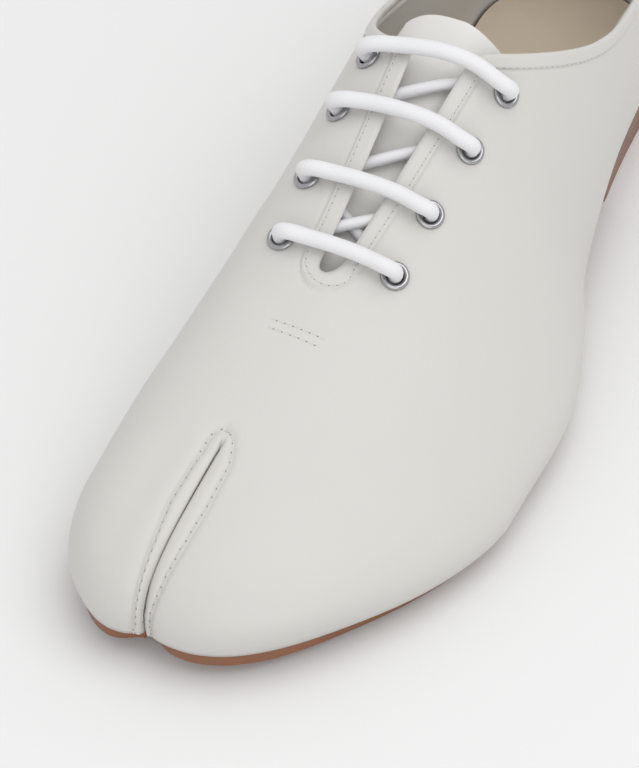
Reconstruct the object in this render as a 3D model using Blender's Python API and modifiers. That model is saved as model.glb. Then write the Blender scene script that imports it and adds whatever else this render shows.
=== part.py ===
"""Left split toe lace-up shoe: sole, heel, insole, upper, tongue, eyelets and lace.

The upper is one leather shell drawn over a last.  The last is given by a table of
sections.  Each section is an arch from the inner feather edge over a crest to the
outer feather edge.  In front of the first section the toe is a dome of lines that run
forward to the toe outline, which has two lobes.  Behind the last section the heel is
a fan round an upright axis.

Sizes are millimetres until MM turns them into Blender's metres.  The toe points to -Y,
the inner (big toe) side is -X, up is +Z, and the floor is z = 0.  A station is a
distance back from the toe tip.
"""

import math
from collections import namedtuple

import bmesh
import bpy
import numpy as np
from mathutils import Matrix, Vector

MM = 0.001

# Main sizes
LENGTH = 288.0
WALL = 2.0
SEAM_GAP = 0.3
SOLE_THICKNESS = 4.5
HEEL_LIFT = 13.0
TOE_SPRING = 6.0
TREAD_FRONT = 78.0
TREAD_BACK = 122.0
HEEL_BREAST = 214.0
INSOLE_THICKNESS = 2.0

# Lines across the last
AXIS_X = -20.2
MIDDLE_X = -2.0
TOE_STATION = 48.0
HEEL_X = -5.0
HEEL_STATION = 256.0

# Throat and collar
THROAT_BOTTOM = 97.0
THROAT_BOTTOM_X = -13.5
THROAT_TOP = 160.0
THROAT_TOP_X = -7.5
THROAT_ROUND = 3.0
THROAT_HALF_GAP = 2.6
THROAT_TOP_HALF_GAP = 7.6
BAND_WIDTH = 5.0
BACK_HEIGHT = 76.0
COLLAR_ROUND = 4.0

Section = namedtuple("Section", "station slant x_inner x_outer x_crest z_crest n_inner n_outer "
                     "tuck_inner tuck_outer")
SECTIONS = [
    Section(48.0, 0.43, -56.0, 57.4, -18.5, 44.0, 3.00, 1.90, 3.0, 8.6),
    Section(70.0, 0.42, -55.8, 57.6, -15.5, 51.5, 3.00, 1.85, 3.0, 8.4),
    Section(92.0, 0.39, -53.8, 55.6, -12.5, 60.0, 3.00, 1.80, 3.5, 7.4),
    Section(112.0, 0.34, -51.0, 51.0, -10.0, 68.5, 3.00, 1.80, 5.0, 6.4),
    Section(132.0, 0.28, -48.3, 45.2, -8.5, 77.5, 3.00, 1.80, 6.5, 5.0),
    Section(152.0, 0.21, -46.4, 38.8, -7.5, 86.5, 2.95, 1.80, 7.5, 3.4),
    Section(174.0, 0.14, -44.2, 34.8, -7.0, 96.0, 2.80, 1.85, 6.5, 3.0),
    Section(200.0, 0.08, -41.2, 31.0, -6.0, 107.0, 2.50, 1.95, 4.5, 2.6),
    Section(228.0, 0.03, -38.2, 28.0, -5.2, 116.0, 2.25, 2.10, 2.6, 2.2),
    Section(256.0, 0.00, -37.0, 27.0, -5.0, 120.0, 2.15, 2.15, 2.0, 2.0),
]

Edge = namedtuple("Edge", "station z_inner z_outer")
COLLAR = [
    Edge(145.0, 100.0, 100.0),
    Edge(163.0, 91.0, 91.0),
    Edge(180.0, 82.5, 82.5),
    Edge(202.0, 73.5, 72.0),
    Edge(228.0, 68.5, 65.5),
    Edge(256.0, 68.5, 66.5),
]

# Toe dome and how the leather turns in above the sole
TOE_START = 0.50
TOE_FULLNESS = 0.62
TOE_TUCK = 1.6
TUCK_HEIGHT = 7.0
TUCK_RISE = 1.8

# Cleft: shares along it from its end to the sole, seam, lip and slit sizes
CLEFT_END_X = -20.2
CLEFT_FRONT_X = -23.6
CLEFT_BACK = 44.0
CLEFT_END_HALF = 0.6
Cleft = namedtuple("Cleft", "along inner_width outer_width lip_depth half_gap")
CLEFT = [
    Cleft(0.00, 1.8, 1.8, 0.0, 0.50),
    Cleft(0.03, 2.8, 3.4, 0.8, 0.45),
    Cleft(0.10, 4.0, 5.2, 2.2, 0.40),
    Cleft(0.28, 4.5, 5.6, 2.8, 0.35),
    Cleft(0.45, 3.4, 5.1, 2.8, 0.45),
    Cleft(0.72, 1.8, 3.3, 2.2, 0.60),
    Cleft(1.00, 1.0, 1.3, 0.8, 0.80),
]

# Eyelets, lace and tongue
EYELET_BORE = 2.35
EYELET_BARREL = 2.7
EYELET_FLANGE = 4.1
EYELET_TALL = 1.1
EYELET_SIDES = 14
LACE_RADIUS = 2.3
LACE_IN_EYELET = 0.82
LACE_BELOW = 0.74
TONGUE_THICKNESS = 1.8
TONGUE_DEPTH = 6.6
TONGUE_BOTTOM = 84.0
TONGUE_TOP = 176.0
TONGUE_HALF_WIDTH = 21.0
TONGUE_TOP_HALF_WIDTH = 25.0

Eyelet = namedtuple("Eyelet", "row x_inner back_inner x_outer back_outer")
EYELETS = [
    Eyelet(1, -29.0, 104.4, 3.4, 107.3),
    Eyelet(2, -29.5, 122.7, 5.7, 125.9),
    Eyelet(3, -29.4, 143.4, 8.9, 146.0),
    Eyelet(4, -27.7, 159.6, 11.4, 165.3),
]

# Sole and insole outlines
SOLE_EDGE = -0.5
SOLE_EDGE_OUTER = -1.7
SOLE_EDGE_NOTCH = -1.5
SOLE_SLOT = 1.1
INSOLE_INSET = WALL + 0.5
INSOLE_SLOT = WALL + 1.6
HEEL_INSET = 1.1
HEEL_TAPER = 0.97

# Toe outline: for each lobe the most forward point, the corner at the slit and the fullness
Lobe = namedtuple("Lobe", "x_tip station_tip full_tip full_side x_inside station_inside power_inside")
INNER_LOBE = Lobe(-31.0, 0.0, 0.56, 0.54, -23.6, 5.0, 2.2)
OUTER_LOBE = Lobe(-13.0, 0.8, 0.25, 0.40, -23.6, 5.5, 2.4)


def spline(knots, values, flat_start=False, flat_end=False):
    """Cubic curve through the values, smooth to the second derivative."""
    knots = np.asarray(knots, float)
    values = np.asarray(values, float)
    count = len(knots)
    step = np.diff(knots)
    rise = np.diff(values) / step
    matrix = np.zeros((count, count))
    right = np.zeros(count)
    for k in range(1, count - 1):
        matrix[k, k - 1] = 1.0 / step[k - 1]
        matrix[k, k] = 2.0 / step[k - 1] + 2.0 / step[k]
        matrix[k, k + 1] = 1.0 / step[k]
        right[k] = 3.0 * (rise[k - 1] / step[k - 1] + rise[k] / step[k])
    if flat_start:
        matrix[0, 0] = 1.0
    else:
        matrix[0, :2] = 2.0, 1.0
        right[0] = 3.0 * rise[0]
    if flat_end:
        matrix[-1, -1] = 1.0
    else:
        matrix[-1, -2:] = 1.0, 2.0
        right[-1] = 3.0 * rise[-1]
    slope = np.linalg.solve(matrix, right)

    def curve(at):
        at = np.clip(np.asarray(at, float), knots[0], knots[-1])
        k = np.clip(np.searchsorted(knots, at) - 1, 0, count - 2)
        t = (at - knots[k]) / step[k]
        return ((1 + 2 * t) * (1 - t) ** 2 * values[k] + t * (1 - t) ** 2 * step[k] * slope[k]
                + t * t * (3 - 2 * t) * values[k + 1] + t * t * (t - 1) * step[k] * slope[k + 1])

    return curve


def ease(value):
    """0 below 0, 1 above 1, and a smooth step between."""
    value = np.clip(value, 0.0, 1.0)
    return value * value * (3.0 - 2.0 * value)


STATIONS = [row.station for row in SECTIONS]
COLUMN = {name: spline(STATIONS, [getattr(row, name) for row in SECTIONS], True, True)
          for name in ("slant", "x_inner", "x_outer")}
COLUMN.update({name: spline(STATIONS, [getattr(row, name) for row in SECTIONS])
               for name in ("x_crest", "z_crest", "n_inner", "n_outer", "tuck_inner", "tuck_outer")})
CENTRE = spline([TOE_STATION, THROAT_BOTTOM, THROAT_TOP, HEEL_STATION],
                [CLEFT_END_X, THROAT_BOTTOM_X, THROAT_TOP_X, HEEL_X])
HEEL_BACK = spline([0.0, 0.4, 0.75, 1.0], [30.0, 32.0, 30.0, 26.5])
COLLAR_INNER = spline([row.station for row in COLLAR], [row.z_inner for row in COLLAR], False, True)
COLLAR_OUTER = spline([row.station for row in COLLAR], [row.z_outer for row in COLLAR], False, True)


def sole_bottom(station):
    """Height of the outsole's underside: toe spring, flat tread, arch and heel seat."""
    station = np.asarray(station, float)
    spring = TOE_SPRING * np.clip((TREAD_FRONT - station) / TREAD_FRONT, 0.0, None) ** 2
    arch = HEEL_LIFT * ease((station - TREAD_BACK) / (HEEL_BREAST - TREAD_BACK))
    return spring + arch


def feather(station):
    """Height of the upper's lower edge, just above the outsole."""
    return sole_bottom(station) + SOLE_THICKNESS + SEAM_GAP


def plan_point(station, x):
    """How far back from the toe tip a section's plane is at x."""
    return station + COLUMN["slant"](station) * (x - AXIS_X)


def section_arc(station, count=160):
    """Dense points of one section, from the inner feather edge to the outer one."""
    turn = np.linspace(0.0, math.pi / 2, count)
    crest = COLUMN["x_crest"](station)
    height = COLUMN["z_crest"](station) - feather(station)
    halves = []
    for side, power in (("x_inner", "n_inner"), ("x_outer", "n_outer")):
        root = 2.0 / COLUMN[power](station)
        across = np.cos(turn) ** root
        up = np.sin(turn) ** root
        x = crest + (COLUMN[side](station) - crest) * across
        halves.append(np.stack([x, height * up], axis=1))
    arc = np.concatenate([halves[0], halves[1][-2::-1]])
    back = plan_point(station, arc[:, 0])
    return np.stack([arc[:, 0], back, feather(back) + arc[:, 1], arc[:, 1]], axis=1)


def centre_line(station):
    """Where the cleft line turns into the throat line."""
    return float(CENTRE(station))


def half_gap(station):
    """Half the throat's width: a round bottom, then two sides that part slowly."""
    into = max(station - THROAT_BOTTOM, 0.0)
    rounded = math.sqrt(max(0.0, 1.0 - max(0.0, 1.0 - into / THROAT_ROUND) ** 2))
    spread = (THROAT_TOP_HALF_GAP - THROAT_HALF_GAP) * min(into / (THROAT_TOP - THROAT_BOTTOM), 1.3)
    return rounded * (THROAT_HALF_GAP + spread)


def half_section(station, side):
    """One half of a section from the feather edge to the throat or collar edge."""
    arc = section_arc(station)
    if side > 0:
        arc = arc[::-1]
    run = np.concatenate([[0.0], np.cumsum(np.linalg.norm(np.diff(arc[:, :3], axis=0), axis=1))])
    stop_x = centre_line(station) + side * half_gap(station)
    end = float(np.interp(side * -stop_x, side * -arc[:, 0], run))
    collar = (COLLAR_INNER if side < 0 else COLLAR_OUTER)(station)
    rising = slice(0, int(np.argmax(arc[:, 2])) + 1)
    if station > COLLAR[0].station and collar < arc[rising, 2][-1]:
        end = min(end, float(np.interp(collar, arc[rising, 2], run[rising])))
    return arc, run, end


def band_width(station):
    """Width of the strip of lines beside the cleft line, the throat and the collar."""
    return CLEFT[0].inner_width + (BAND_WIDTH - CLEFT[0].inner_width) * float(
        ease((station - TOE_STATION) / (THROAT_BOTTOM - TOE_STATION)))


def turned_in(amount, height):
    """How far the leather is turned in at a height above the sole."""
    return amount * np.clip(1.0 - height / (TUCK_HEIGHT + TUCK_RISE * amount), 0.0, 1.0) ** 2


def half_row(station, side, main, band, tucked=True):
    """Points of one half section: even ones on the wall, then the strip at the edge."""
    arc, run, end = half_section(station, side)
    strip = band_width(station)
    at = np.concatenate([np.linspace(0.0, end - strip, main + 1),
                         np.linspace(end - strip, end, band + 1)[1:]])
    row = np.stack([np.interp(at, run, arc[:, k]) for k in range(4)], axis=1)
    if tucked:
        amount = COLUMN["tuck_inner" if side < 0 else "tuck_outer"](station)
        row[:, 0] -= side * turned_in(amount, row[:, 3])
    return row[:, :3]


def edge_line(side, count=420):
    """Throat and collar edge of one quarter: station and run up the section, at even steps."""
    stations = np.linspace(THROAT_BOTTOM, HEEL_STATION, count)
    raw = np.array([[station, half_section(station, side)[2]] for station in stations])
    length = np.concatenate([[0.0], np.cumsum(np.linalg.norm(np.diff(raw, axis=0), axis=1))])
    even = np.linspace(0.0, length[-1], count)
    line = np.stack([np.interp(even, length, raw[:, k]) for k in range(2)], axis=1)
    near = np.exp(-((even[:, None] - even[None, :]) / COLLAR_ROUND) ** 2)
    soft = near @ line / near.sum(axis=1, keepdims=True)
    share = ease((line[:, 0] - THROAT_BOTTOM - 20.0) / 20.0) * ease((HEEL_STATION - line[:, 0]) / 14.0)
    return line + (soft - line) * share[:, None]


def surface_point(station, run_at, side):
    """Point of the leather at a station, a run up from the feather edge."""
    arc, run, _ = half_section(station, side)
    point = np.array([np.interp(run_at, run, arc[:, k]) for k in range(4)])
    amount = COLUMN["tuck_inner" if side < 0 else "tuck_outer"](station)
    point[0] -= side * turned_in(amount, point[3])
    return point[:3]


def quarter_row(share, side, main, band, line):
    """One row of a quarter: from the feather edge, squarely into the throat or collar edge."""
    even = np.linspace(0.0, 1.0, len(line))
    edge = np.array([np.interp(share, even, line[:, k]) for k in range(2)])
    ahead = np.array([np.interp(share + 0.012, even, line[:, k]) for k in range(2)])
    behind = np.array([np.interp(share - 0.012, even, line[:, k]) for k in range(2)])
    way = (ahead - behind) / np.linalg.norm(ahead - behind)
    square = float(ease((edge[0] - THROAT_BOTTOM - 25.0) / 20.0)) * float(ease((1.0 - share) / 0.08))
    down = np.array([way[1], -way[0]]) * square + np.array([0.0, -1.0]) * (1.0 - square)
    seam = edge + down / np.linalg.norm(down) * BAND_WIDTH
    foot = THROAT_BOTTOM + share * (HEEL_STATION - THROAT_BOTTOM)
    row = []
    for up in np.linspace(0.0, 1.0, main + 1):
        row.append(surface_point(foot + (seam[0] - foot) * up * up, seam[1] * up, side))
    for over in np.linspace(0.0, 1.0, band + 1)[1:]:
        row.append(surface_point(*(seam + (edge - seam) * over), side))
    return np.array(row)


def lobe_of(side):
    """The toe lobe on one side, and where its outline meets the first section."""
    lobe = INNER_LOBE if side < 0 else OUTER_LOBE
    pole = SECTIONS[0].x_inner if side < 0 else SECTIONS[0].x_outer
    return lobe, pole


def toe_outline(x, side):
    """Station of the toe's edge at x, seen from above."""
    lobe, pole = lobe_of(side)
    t = np.linspace(0.0, 1.0, 400)
    near = 3.0 * (1.0 - t) ** 2 * t
    far = 3.0 * (1.0 - t) * t * t
    across = near * lobe.full_tip + far + t ** 3
    behind = far * (1.0 - lobe.full_side) + t ** 3
    outward = np.clip((x - lobe.x_tip) / (pole - lobe.x_tip), 0.0, 1.0)
    inward = np.clip((x - lobe.x_tip) / (lobe.x_inside - lobe.x_tip), 0.0, 1.0)
    depth = plan_point(TOE_STATION, pole) - lobe.station_tip
    notch = lobe.station_inside - lobe.station_tip
    back = lobe.station_tip + depth * np.interp(outward, across, behind)
    return back + notch * (1.0 - (1.0 - inward ** lobe.power_inside) ** (1.0 / lobe.power_inside))


def toe_profile(along, slope):
    """A toe line seen from the side: share of its reach and share of its height."""
    near = 3.0 * (1.0 - along) ** 2 * along
    far = 3.0 * (1.0 - along) * along ** 2
    reach = near * TOE_START + far + along ** 3
    height = (1.0 - along) ** 3 + near * (1.0 + slope * TOE_START) + far * TOE_FULLNESS
    return reach, height


def toe_lines(x, along, side):
    """Points of the toe dome at x, one share of the way from the first section to the edge."""
    first = section_arc(TOE_STATION)
    second = section_arc(TOE_STATION + 3.0)
    start = plan_point(TOE_STATION, x)
    reach = np.maximum(start - toe_outline(x, side), 0.0)
    tall = np.interp(x, first[:, 0], first[:, 3])
    behind = np.interp(x, second[:, 0], second[:, 3])
    slope = np.clip((tall - behind) / 3.0 * reach / np.maximum(tall, 1.0), -0.9, 0.0)
    out, up = toe_profile(along, slope)
    back = start - reach * out
    nudge = 0.02
    lean = (toe_outline(x + nudge, side) - toe_outline(x - nudge, side)) / (2.0 * nudge)
    norm = np.sqrt(1.0 + lean * lean)
    lobe, pole = lobe_of(side)
    flank = COLUMN["tuck_inner" if side < 0 else "tuck_outer"](TOE_STATION)
    outward = np.clip((x - lobe.x_tip) / (pole - lobe.x_tip), 0.0, 1.0)
    tuck = turned_in(TOE_TUCK + (flank - TOE_TUCK) * ease(outward * 1.4), tall * up)
    turn = ease(along * 3.0)
    px = x - tuck * (turn * lean / norm + (1.0 - turn) * side)
    pb = back + tuck * turn / norm
    return np.stack([px, pb, feather(pb) + tall * up], axis=-1)


def toe_row(along, side, main, band):
    """One row over a toe lobe: wall, top, seam, lip and the side of the cleft."""
    width, lip, gap = cleft_shape(along, side)
    _, pole = lobe_of(side)
    middle = CLEFT_END_X + (CLEFT_FRONT_X - CLEFT_END_X) * toe_profile(along, 0.0)[0]
    seam = middle + side * width
    first = half_row(TOE_STATION, side, main, band)
    even = half_row(TOE_STATION, side, main, band, tucked=False)[:main + 1, 0]
    x = pole + (seam - pole) * (even - even[0]) / (even[-1] - even[0])
    wall = toe_lines(x, along, side)
    wall[0] = first[0]
    if along == 0.0:
        return first
    crown = toe_lines(np.array([middle + side * 0.01]), along, side)[0]
    crown[1:] = wall[-1, 1:] * 0.5 + crown[1:] * 0.5
    top = toe_lines(np.array([CLEFT_END_X]), 0.0, side)[0]
    root = np.array([CLEFT_END_X, CLEFT_BACK, feather(CLEFT_BACK)])
    _, fall = toe_profile(along, -0.5)
    hinge = top + (root - top) * (1.0 - fall)
    hinge[0] = CLEFT_END_X
    into = hinge - crown
    into[0] = 0.0
    into /= np.linalg.norm(into)
    lips = band // 2
    rows = []
    for k in range(1, lips + 1):
        share = k / lips
        dip = lip * (1.0 - math.sqrt(1.0 - share * share))
        point = wall[-1] + (crown - wall[-1]) * share + into * dip
        point[0] = seam + (middle + side * gap - seam) * share
        rows.append(point)
    slit = rows[-1]
    foot = hinge + np.array([side * CLEFT_END_HALF, 0.0, 0.0])
    for k in range(1, band - lips):
        rows.append(slit + (foot - slit) * k / (band - lips - 1))
    rows.append(hinge + np.array([0.0, CLEFT_END_HALF, 0.0]))
    return np.concatenate([wall, rows])


def cleft_shape(along, side):
    """Width from the slit to the seam, lip depth and half gap of the slit."""
    return [float(np.interp(along, [row.along for row in CLEFT], [getattr(row, name) for row in CLEFT]))
            for name in ("inner_width" if side < 0 else "outer_width", "lip_depth", "half_gap")]


def heel_row(turn, side, main, band):
    """One upright row of the heel, turned from the side (0) to the back (1)."""
    flank = half_row(HEEL_STATION, side, main, band)
    angle = turn * math.pi / 2
    run = heel_shares(main, band)
    bulge = HEEL_BACK(run)
    top = BACK_HEIGHT - feather(LENGTH)
    z_back = feather(LENGTH) + top * run
    x = HEEL_X + (flank[:, 0] - HEEL_X) * math.cos(angle)
    back = HEEL_STATION + bulge * math.sin(angle)
    z = flank[:, 2] + (z_back - flank[:, 2]) * math.sin(angle) ** 2
    return np.stack([x, back, z], axis=1)


def heel_shares(main, band):
    """Shares of the heel's height for the rows of points up its back."""
    strip = BAND_WIDTH / (BACK_HEIGHT - feather(LENGTH))
    return np.concatenate([np.linspace(0.0, 1.0 - strip, main + 1),
                           np.linspace(1.0 - strip, 1.0, band + 1)[1:]])


def upper_blocks(main, band, toe_steps, vamp_steps, quarter_steps, heel_steps):
    """Grids of points: toe and vamp in one, then the inner and the outer quarter."""
    front = []
    for along in np.linspace(1.0, 0.0, toe_steps + 1) ** 1.25:
        inner = toe_row(float(along), -1, main, band)
        outer = toe_row(float(along), 1, main, band)
        front.append(np.concatenate([inner, outer[::-1]]))
    for station in np.linspace(TOE_STATION, THROAT_BOTTOM, vamp_steps + 1)[1:]:
        inner = half_row(float(station), -1, main, band)
        outer = half_row(float(station), 1, main, band)
        front.append(np.concatenate([inner, outer[::-1]]))
    quarters = []
    for side in (-1, 1):
        line = edge_line(side)
        rounded = THROAT_ROUND * 1.6 / float(np.sum(np.linalg.norm(np.diff(line, axis=0), axis=1)))
        shares = np.concatenate([np.linspace(0.0, rounded, 4)[:-1],
                                 np.linspace(rounded, 1.0, quarter_steps + 1)])
        rows = [quarter_row(float(share), side, main, band, line) for share in shares]
        rows += [heel_row(float(turn), side, main, band) for turn in np.linspace(0.0, 1.0, heel_steps + 1)[1:]]
        quarters.append(np.array(rows))
    return np.array(front), quarters[0], quarters[1]


def surface_height(x, back):
    """Height of the closed last at a place in plan, as if it had no throat."""
    station = back
    for _ in range(8):
        station = back - float(COLUMN["slant"](station)) * (x - AXIS_X)
    arc = section_arc(station)
    return float(np.interp(x, arc[:, 0], arc[:, 2]))


def surface_frame(x, back):
    """Point on the last and the way out of it."""
    nudge = 0.5
    slope_x = (surface_height(x + nudge, back) - surface_height(x - nudge, back)) / (2.0 * nudge)
    slope_y = (surface_height(x, back + nudge) - surface_height(x, back - nudge)) / (2.0 * nudge)
    out = np.array([-slope_x, -slope_y, 1.0])
    return np.array([x, back, surface_height(x, back)]), out / np.linalg.norm(out)


def placed(points):
    """Table places in millimetres to Blender's metres, with the shoe's middle at x = y = 0."""
    points = np.array(points, float)
    points[..., 0] -= MIDDLE_X
    points[..., 1] -= LENGTH / 2
    return points * MM


def material(name, colour, roughness, metallic=0.0):
    made = bpy.data.materials.new(name)
    made.use_nodes = True
    shader = made.node_tree.nodes["Principled BSDF"]
    shader.inputs["Base Color"].default_value = (*colour, 1.0)
    shader.inputs["Roughness"].default_value = roughness
    shader.inputs["Metallic"].default_value = metallic
    return made


def finish_mesh(bm, name, look, collection):
    """Turn a bmesh into a named object with its material."""
    mesh = bpy.data.meshes.new(name)
    bm.to_mesh(mesh)
    bm.free()
    mesh.materials.append(look)
    made = bpy.data.objects.new(name, mesh)
    collection.objects.link(made)
    return made


def drape(bm, points):
    """Lay a grid primitive over a block of points."""
    rows, columns = points.shape[:2]
    made = bmesh.ops.create_grid(bm, x_segments=columns - 1, y_segments=rows - 1, size=1.0)
    ordered = sorted(made["verts"], key=lambda v: (round(v.co.y, 5), round(v.co.x, 5)))
    for vert, point in zip(ordered, points.reshape(-1, 3)):
        vert.co = point


def weld(bm):
    """Join the blocks along their shared rows and drop faces of no area."""
    bmesh.ops.remove_doubles(bm, verts=bm.verts, dist=0.02 * MM)
    bmesh.ops.dissolve_degenerate(bm, edges=bm.edges, dist=0.005 * MM)
    bmesh.ops.recalc_face_normals(bm, faces=bm.faces)
    top = max(bm.faces, key=lambda face: face.normal.z * face.normal.z * face.calc_area())
    if top.normal.z < 0.0:
        bmesh.ops.reverse_faces(bm, faces=bm.faces)


def thicken(made, thickness):
    """Give an open sheet its wall, inward from the drawn surface."""
    shell = made.modifiers.new("wall", "SOLIDIFY")
    shell.thickness = thickness * MM
    shell.offset = -1.0
    shell.use_quality_normals = True
    shell.use_rim = True


def sole_edge(x, back):
    """How far the outsole's edge lies outside the upper's: further in on the outer side and at the notch."""
    outer = float(ease((x - 5.0) / 35.0) * (1.0 - ease((back - 190.0) / 40.0)))
    notch = math.exp(-((x - CLEFT_FRONT_X) / 7.0) ** 2 - (back / 14.0) ** 2)
    return SOLE_EDGE + (SOLE_EDGE_OUTER - SOLE_EDGE) * outer + SOLE_EDGE_NOTCH * notch


def feather_outline(offset, slot_half, slot_back):
    """Plan outline inside the upper's lower edge, with the slot between the lobes."""
    main, band = 16, 6
    outer_side = [half_row(s, 1, main, band)[0] for s in np.linspace(TOE_STATION, HEEL_STATION, 26)[1:]]
    inner_side = [half_row(s, -1, main, band)[0] for s in np.linspace(TOE_STATION, HEEL_STATION, 26)[1:]]
    heel = [heel_row(t, 1, main, band)[0] for t in np.linspace(0.0, 1.0, 9)[1:]]
    heel += [heel_row(t, -1, main, band)[0] for t in np.linspace(1.0, 0.0, 9)[1:-1]]
    inner_toe = toe_row(1.0, -1, main, band)[:main + 1]
    outer_toe = toe_row(1.0, 1, main, band)[:main + 1]
    ring = np.array([*inner_toe, *outer_toe[::-1], *outer_side, *heel, *inner_side[::-1]])[:, :2]
    ahead = np.roll(ring, -1, axis=0) - np.roll(ring, 1, axis=0)
    ahead /= np.linalg.norm(ahead, axis=1)[:, None]
    grow = np.array([offset(x, back) for x, back in ring])[:, None]
    moved = ring + grow * np.stack([ahead[:, 1], -ahead[:, 0]], axis=1)
    inner = [p for p in moved[:main + 1] if p[0] < CLEFT_FRONT_X - slot_half]
    outer = [p for p in moved[main + 1:2 * main + 2] if p[0] > CLEFT_FRONT_X + slot_half]
    slot = []
    for side in (-1, 1):
        corner = inner[-1] if side < 0 else outer[0]
        backs = np.linspace(corner[1] + slot_half * 0.6, slot_back - slot_half * 0.5, 5)
        share = (backs - 4.0) / (CLEFT_BACK - 4.0)
        middle = CLEFT_FRONT_X + (CLEFT_END_X - CLEFT_FRONT_X) * share
        slot.append(np.stack([middle + side * slot_half, backs], axis=1))
    end = np.array([[CLEFT_END_X, slot_back]])
    return np.concatenate([inner, slot[0], end, slot[1][::-1], outer, moved[2 * main + 2:]])


def plate(name, outline, low, high, cuts, look, collection, taper=1.0):
    """A slab with a plan outline whose underside and top follow two height curves."""
    bm = bmesh.new()
    ring = [bm.verts.new((x, back, 0.0)) for x, back in outline]
    base = bm.faces.new(ring)
    lifted = bmesh.ops.extrude_face_region(bm, geom=[base])
    for item in lifted["geom"]:
        if isinstance(item, bmesh.types.BMVert):
            item.co.z = 1.0
    bmesh.ops.triangulate(bm, faces=[face for face in bm.faces if len(face.verts) > 4])
    for back in cuts:
        bmesh.ops.bisect_plane(bm, geom=[*bm.verts, *bm.edges, *bm.faces], dist=1e-4,
                               plane_co=(0.0, back, 0.0), plane_no=(0.0, 1.0, 0.0))
    bmesh.ops.triangulate(bm, faces=[face for face in bm.faces if len(face.verts) > 4])
    middle = np.mean(outline, axis=0)
    for vert in bm.verts:
        x, back, level = vert.co
        height = low(back) if level < 0.5 else high(back)
        if level < 0.5 and taper != 1.0:
            x = middle[0] + (x - middle[0]) * taper
            back = middle[1] + (back - middle[1]) * taper
        vert.co = placed((x, back, height))
    bmesh.ops.recalc_face_normals(bm, faces=bm.faces)
    return finish_mesh(bm, name, look, collection)


def make_soles(looks, collection):
    """Outsole and insole, split at the toe, and the heel block."""
    cuts = [*np.linspace(8.0, TREAD_FRONT, 7), *np.linspace(TREAD_BACK, HEEL_BREAST, 9)]
    outline = feather_outline(sole_edge, SOLE_SLOT, CLEFT_BACK + 1.5)
    plate("outsole", outline, sole_bottom, lambda back: sole_bottom(back) + SOLE_THICKNESS, cuts,
          looks["sole"], collection)
    sock = feather_outline(lambda x, back: -INSOLE_INSET, INSOLE_SLOT, CLEFT_BACK + WALL + 2.0)
    plate("insole", sock, feather, lambda back: feather(back) + INSOLE_THICKNESS, cuts,
          looks["lining"], collection)
    seat = feather_outline(lambda x, back: -HEEL_INSET, SOLE_SLOT, CLEFT_BACK)
    seat = np.array([p for p in seat if p[1] > HEEL_BREAST + 1.0])
    first, last = seat[0], seat[-1]
    front = np.array([[last[0], HEEL_BREAST + 0.5], [first[0], HEEL_BREAST + 0.5]])
    plate("heel", np.concatenate([seat, front]), lambda back: 0.0,
          lambda back: sole_bottom(back) - SEAM_GAP, [], looks["heel"], collection, HEEL_TAPER)


def eyelet_places():
    """Name, point and outward direction of every eyelet."""
    places = {}
    for row in EYELETS:
        places["inner", row.row] = surface_frame(row.x_inner, row.back_inner)
        places["outer", row.row] = surface_frame(row.x_outer, row.back_outer)
    return places


def upright(point, out):
    """Matrix that stands a turned piece on the leather."""
    turn = Vector((0.0, 0.0, 1.0)).rotation_difference(Vector(out)).to_matrix().to_4x4()
    return Matrix.Translation(Vector(placed(point))) @ turn


def make_upper(places, looks, collection, cutters):
    """The leather shell over the last, with a bored hole at every eyelet."""
    bm = bmesh.new()
    for block in upper_blocks(10, 6, 13, 7, 18, 5):
        drape(bm, placed(block))
    weld(bm)
    made = finish_mesh(bm, "upper", looks["leather"], collection)
    thicken(made, WALL)
    for (side, row), (point, out) in places.items():
        bm = bmesh.new()
        bmesh.ops.create_cone(bm, cap_ends=True, segments=EYELET_SIDES,
                              radius1=(EYELET_BARREL + SEAM_GAP) * MM,
                              radius2=(EYELET_BARREL + SEAM_GAP) * MM, depth=12.0 * MM)
        drill = finish_mesh(bm, f"drill_{side}_{row}", looks["leather"], cutters)
        drill.matrix_world = upright(point, out)
        drill.display_type = "WIRE"
        drill.hide_render = True
    holes = made.modifiers.new("eyelet_holes", "BOOLEAN")
    holes.operation = "DIFFERENCE"
    holes.operand_type = "COLLECTION"
    holes.collection = cutters
    holes.solver = "EXACT"


def make_eyelets(places, looks, collection):
    """One turned eyelet, used eight times."""
    foot = -(WALL + 0.5)
    profile = [(EYELET_BORE, foot), (EYELET_BARREL, foot), (EYELET_BARREL, SEAM_GAP),
               (EYELET_FLANGE, SEAM_GAP), (EYELET_FLANGE, 0.7), (EYELET_FLANGE - 0.6, EYELET_TALL),
               (EYELET_BORE + 0.6, EYELET_TALL), (EYELET_BORE, 0.6)]
    bm = bmesh.new()
    ring = [bm.verts.new((radius * MM, 0.0, height * MM)) for radius, height in profile]
    edges = [bm.edges.new((ring[k], ring[(k + 1) % len(ring)])) for k in range(len(ring))]
    bmesh.ops.spin(bm, geom=ring + edges, cent=(0, 0, 0), axis=(0, 0, 1), dvec=(0, 0, 0),
                   angle=math.tau, steps=EYELET_SIDES, use_merge=True)
    bmesh.ops.remove_doubles(bm, verts=bm.verts, dist=0.01 * MM)
    bmesh.ops.recalc_face_normals(bm, faces=bm.faces)
    shared = None
    for (side, row), (point, out) in places.items():
        name = f"eyelet_{side}_{row}"
        if shared is None:
            made = finish_mesh(bm, name, looks["metal"], collection)
            shared = made.data
        else:
            made = bpy.data.objects.new(name, shared)
            collection.objects.link(made)
        made.matrix_world = upright(point, out)


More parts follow.
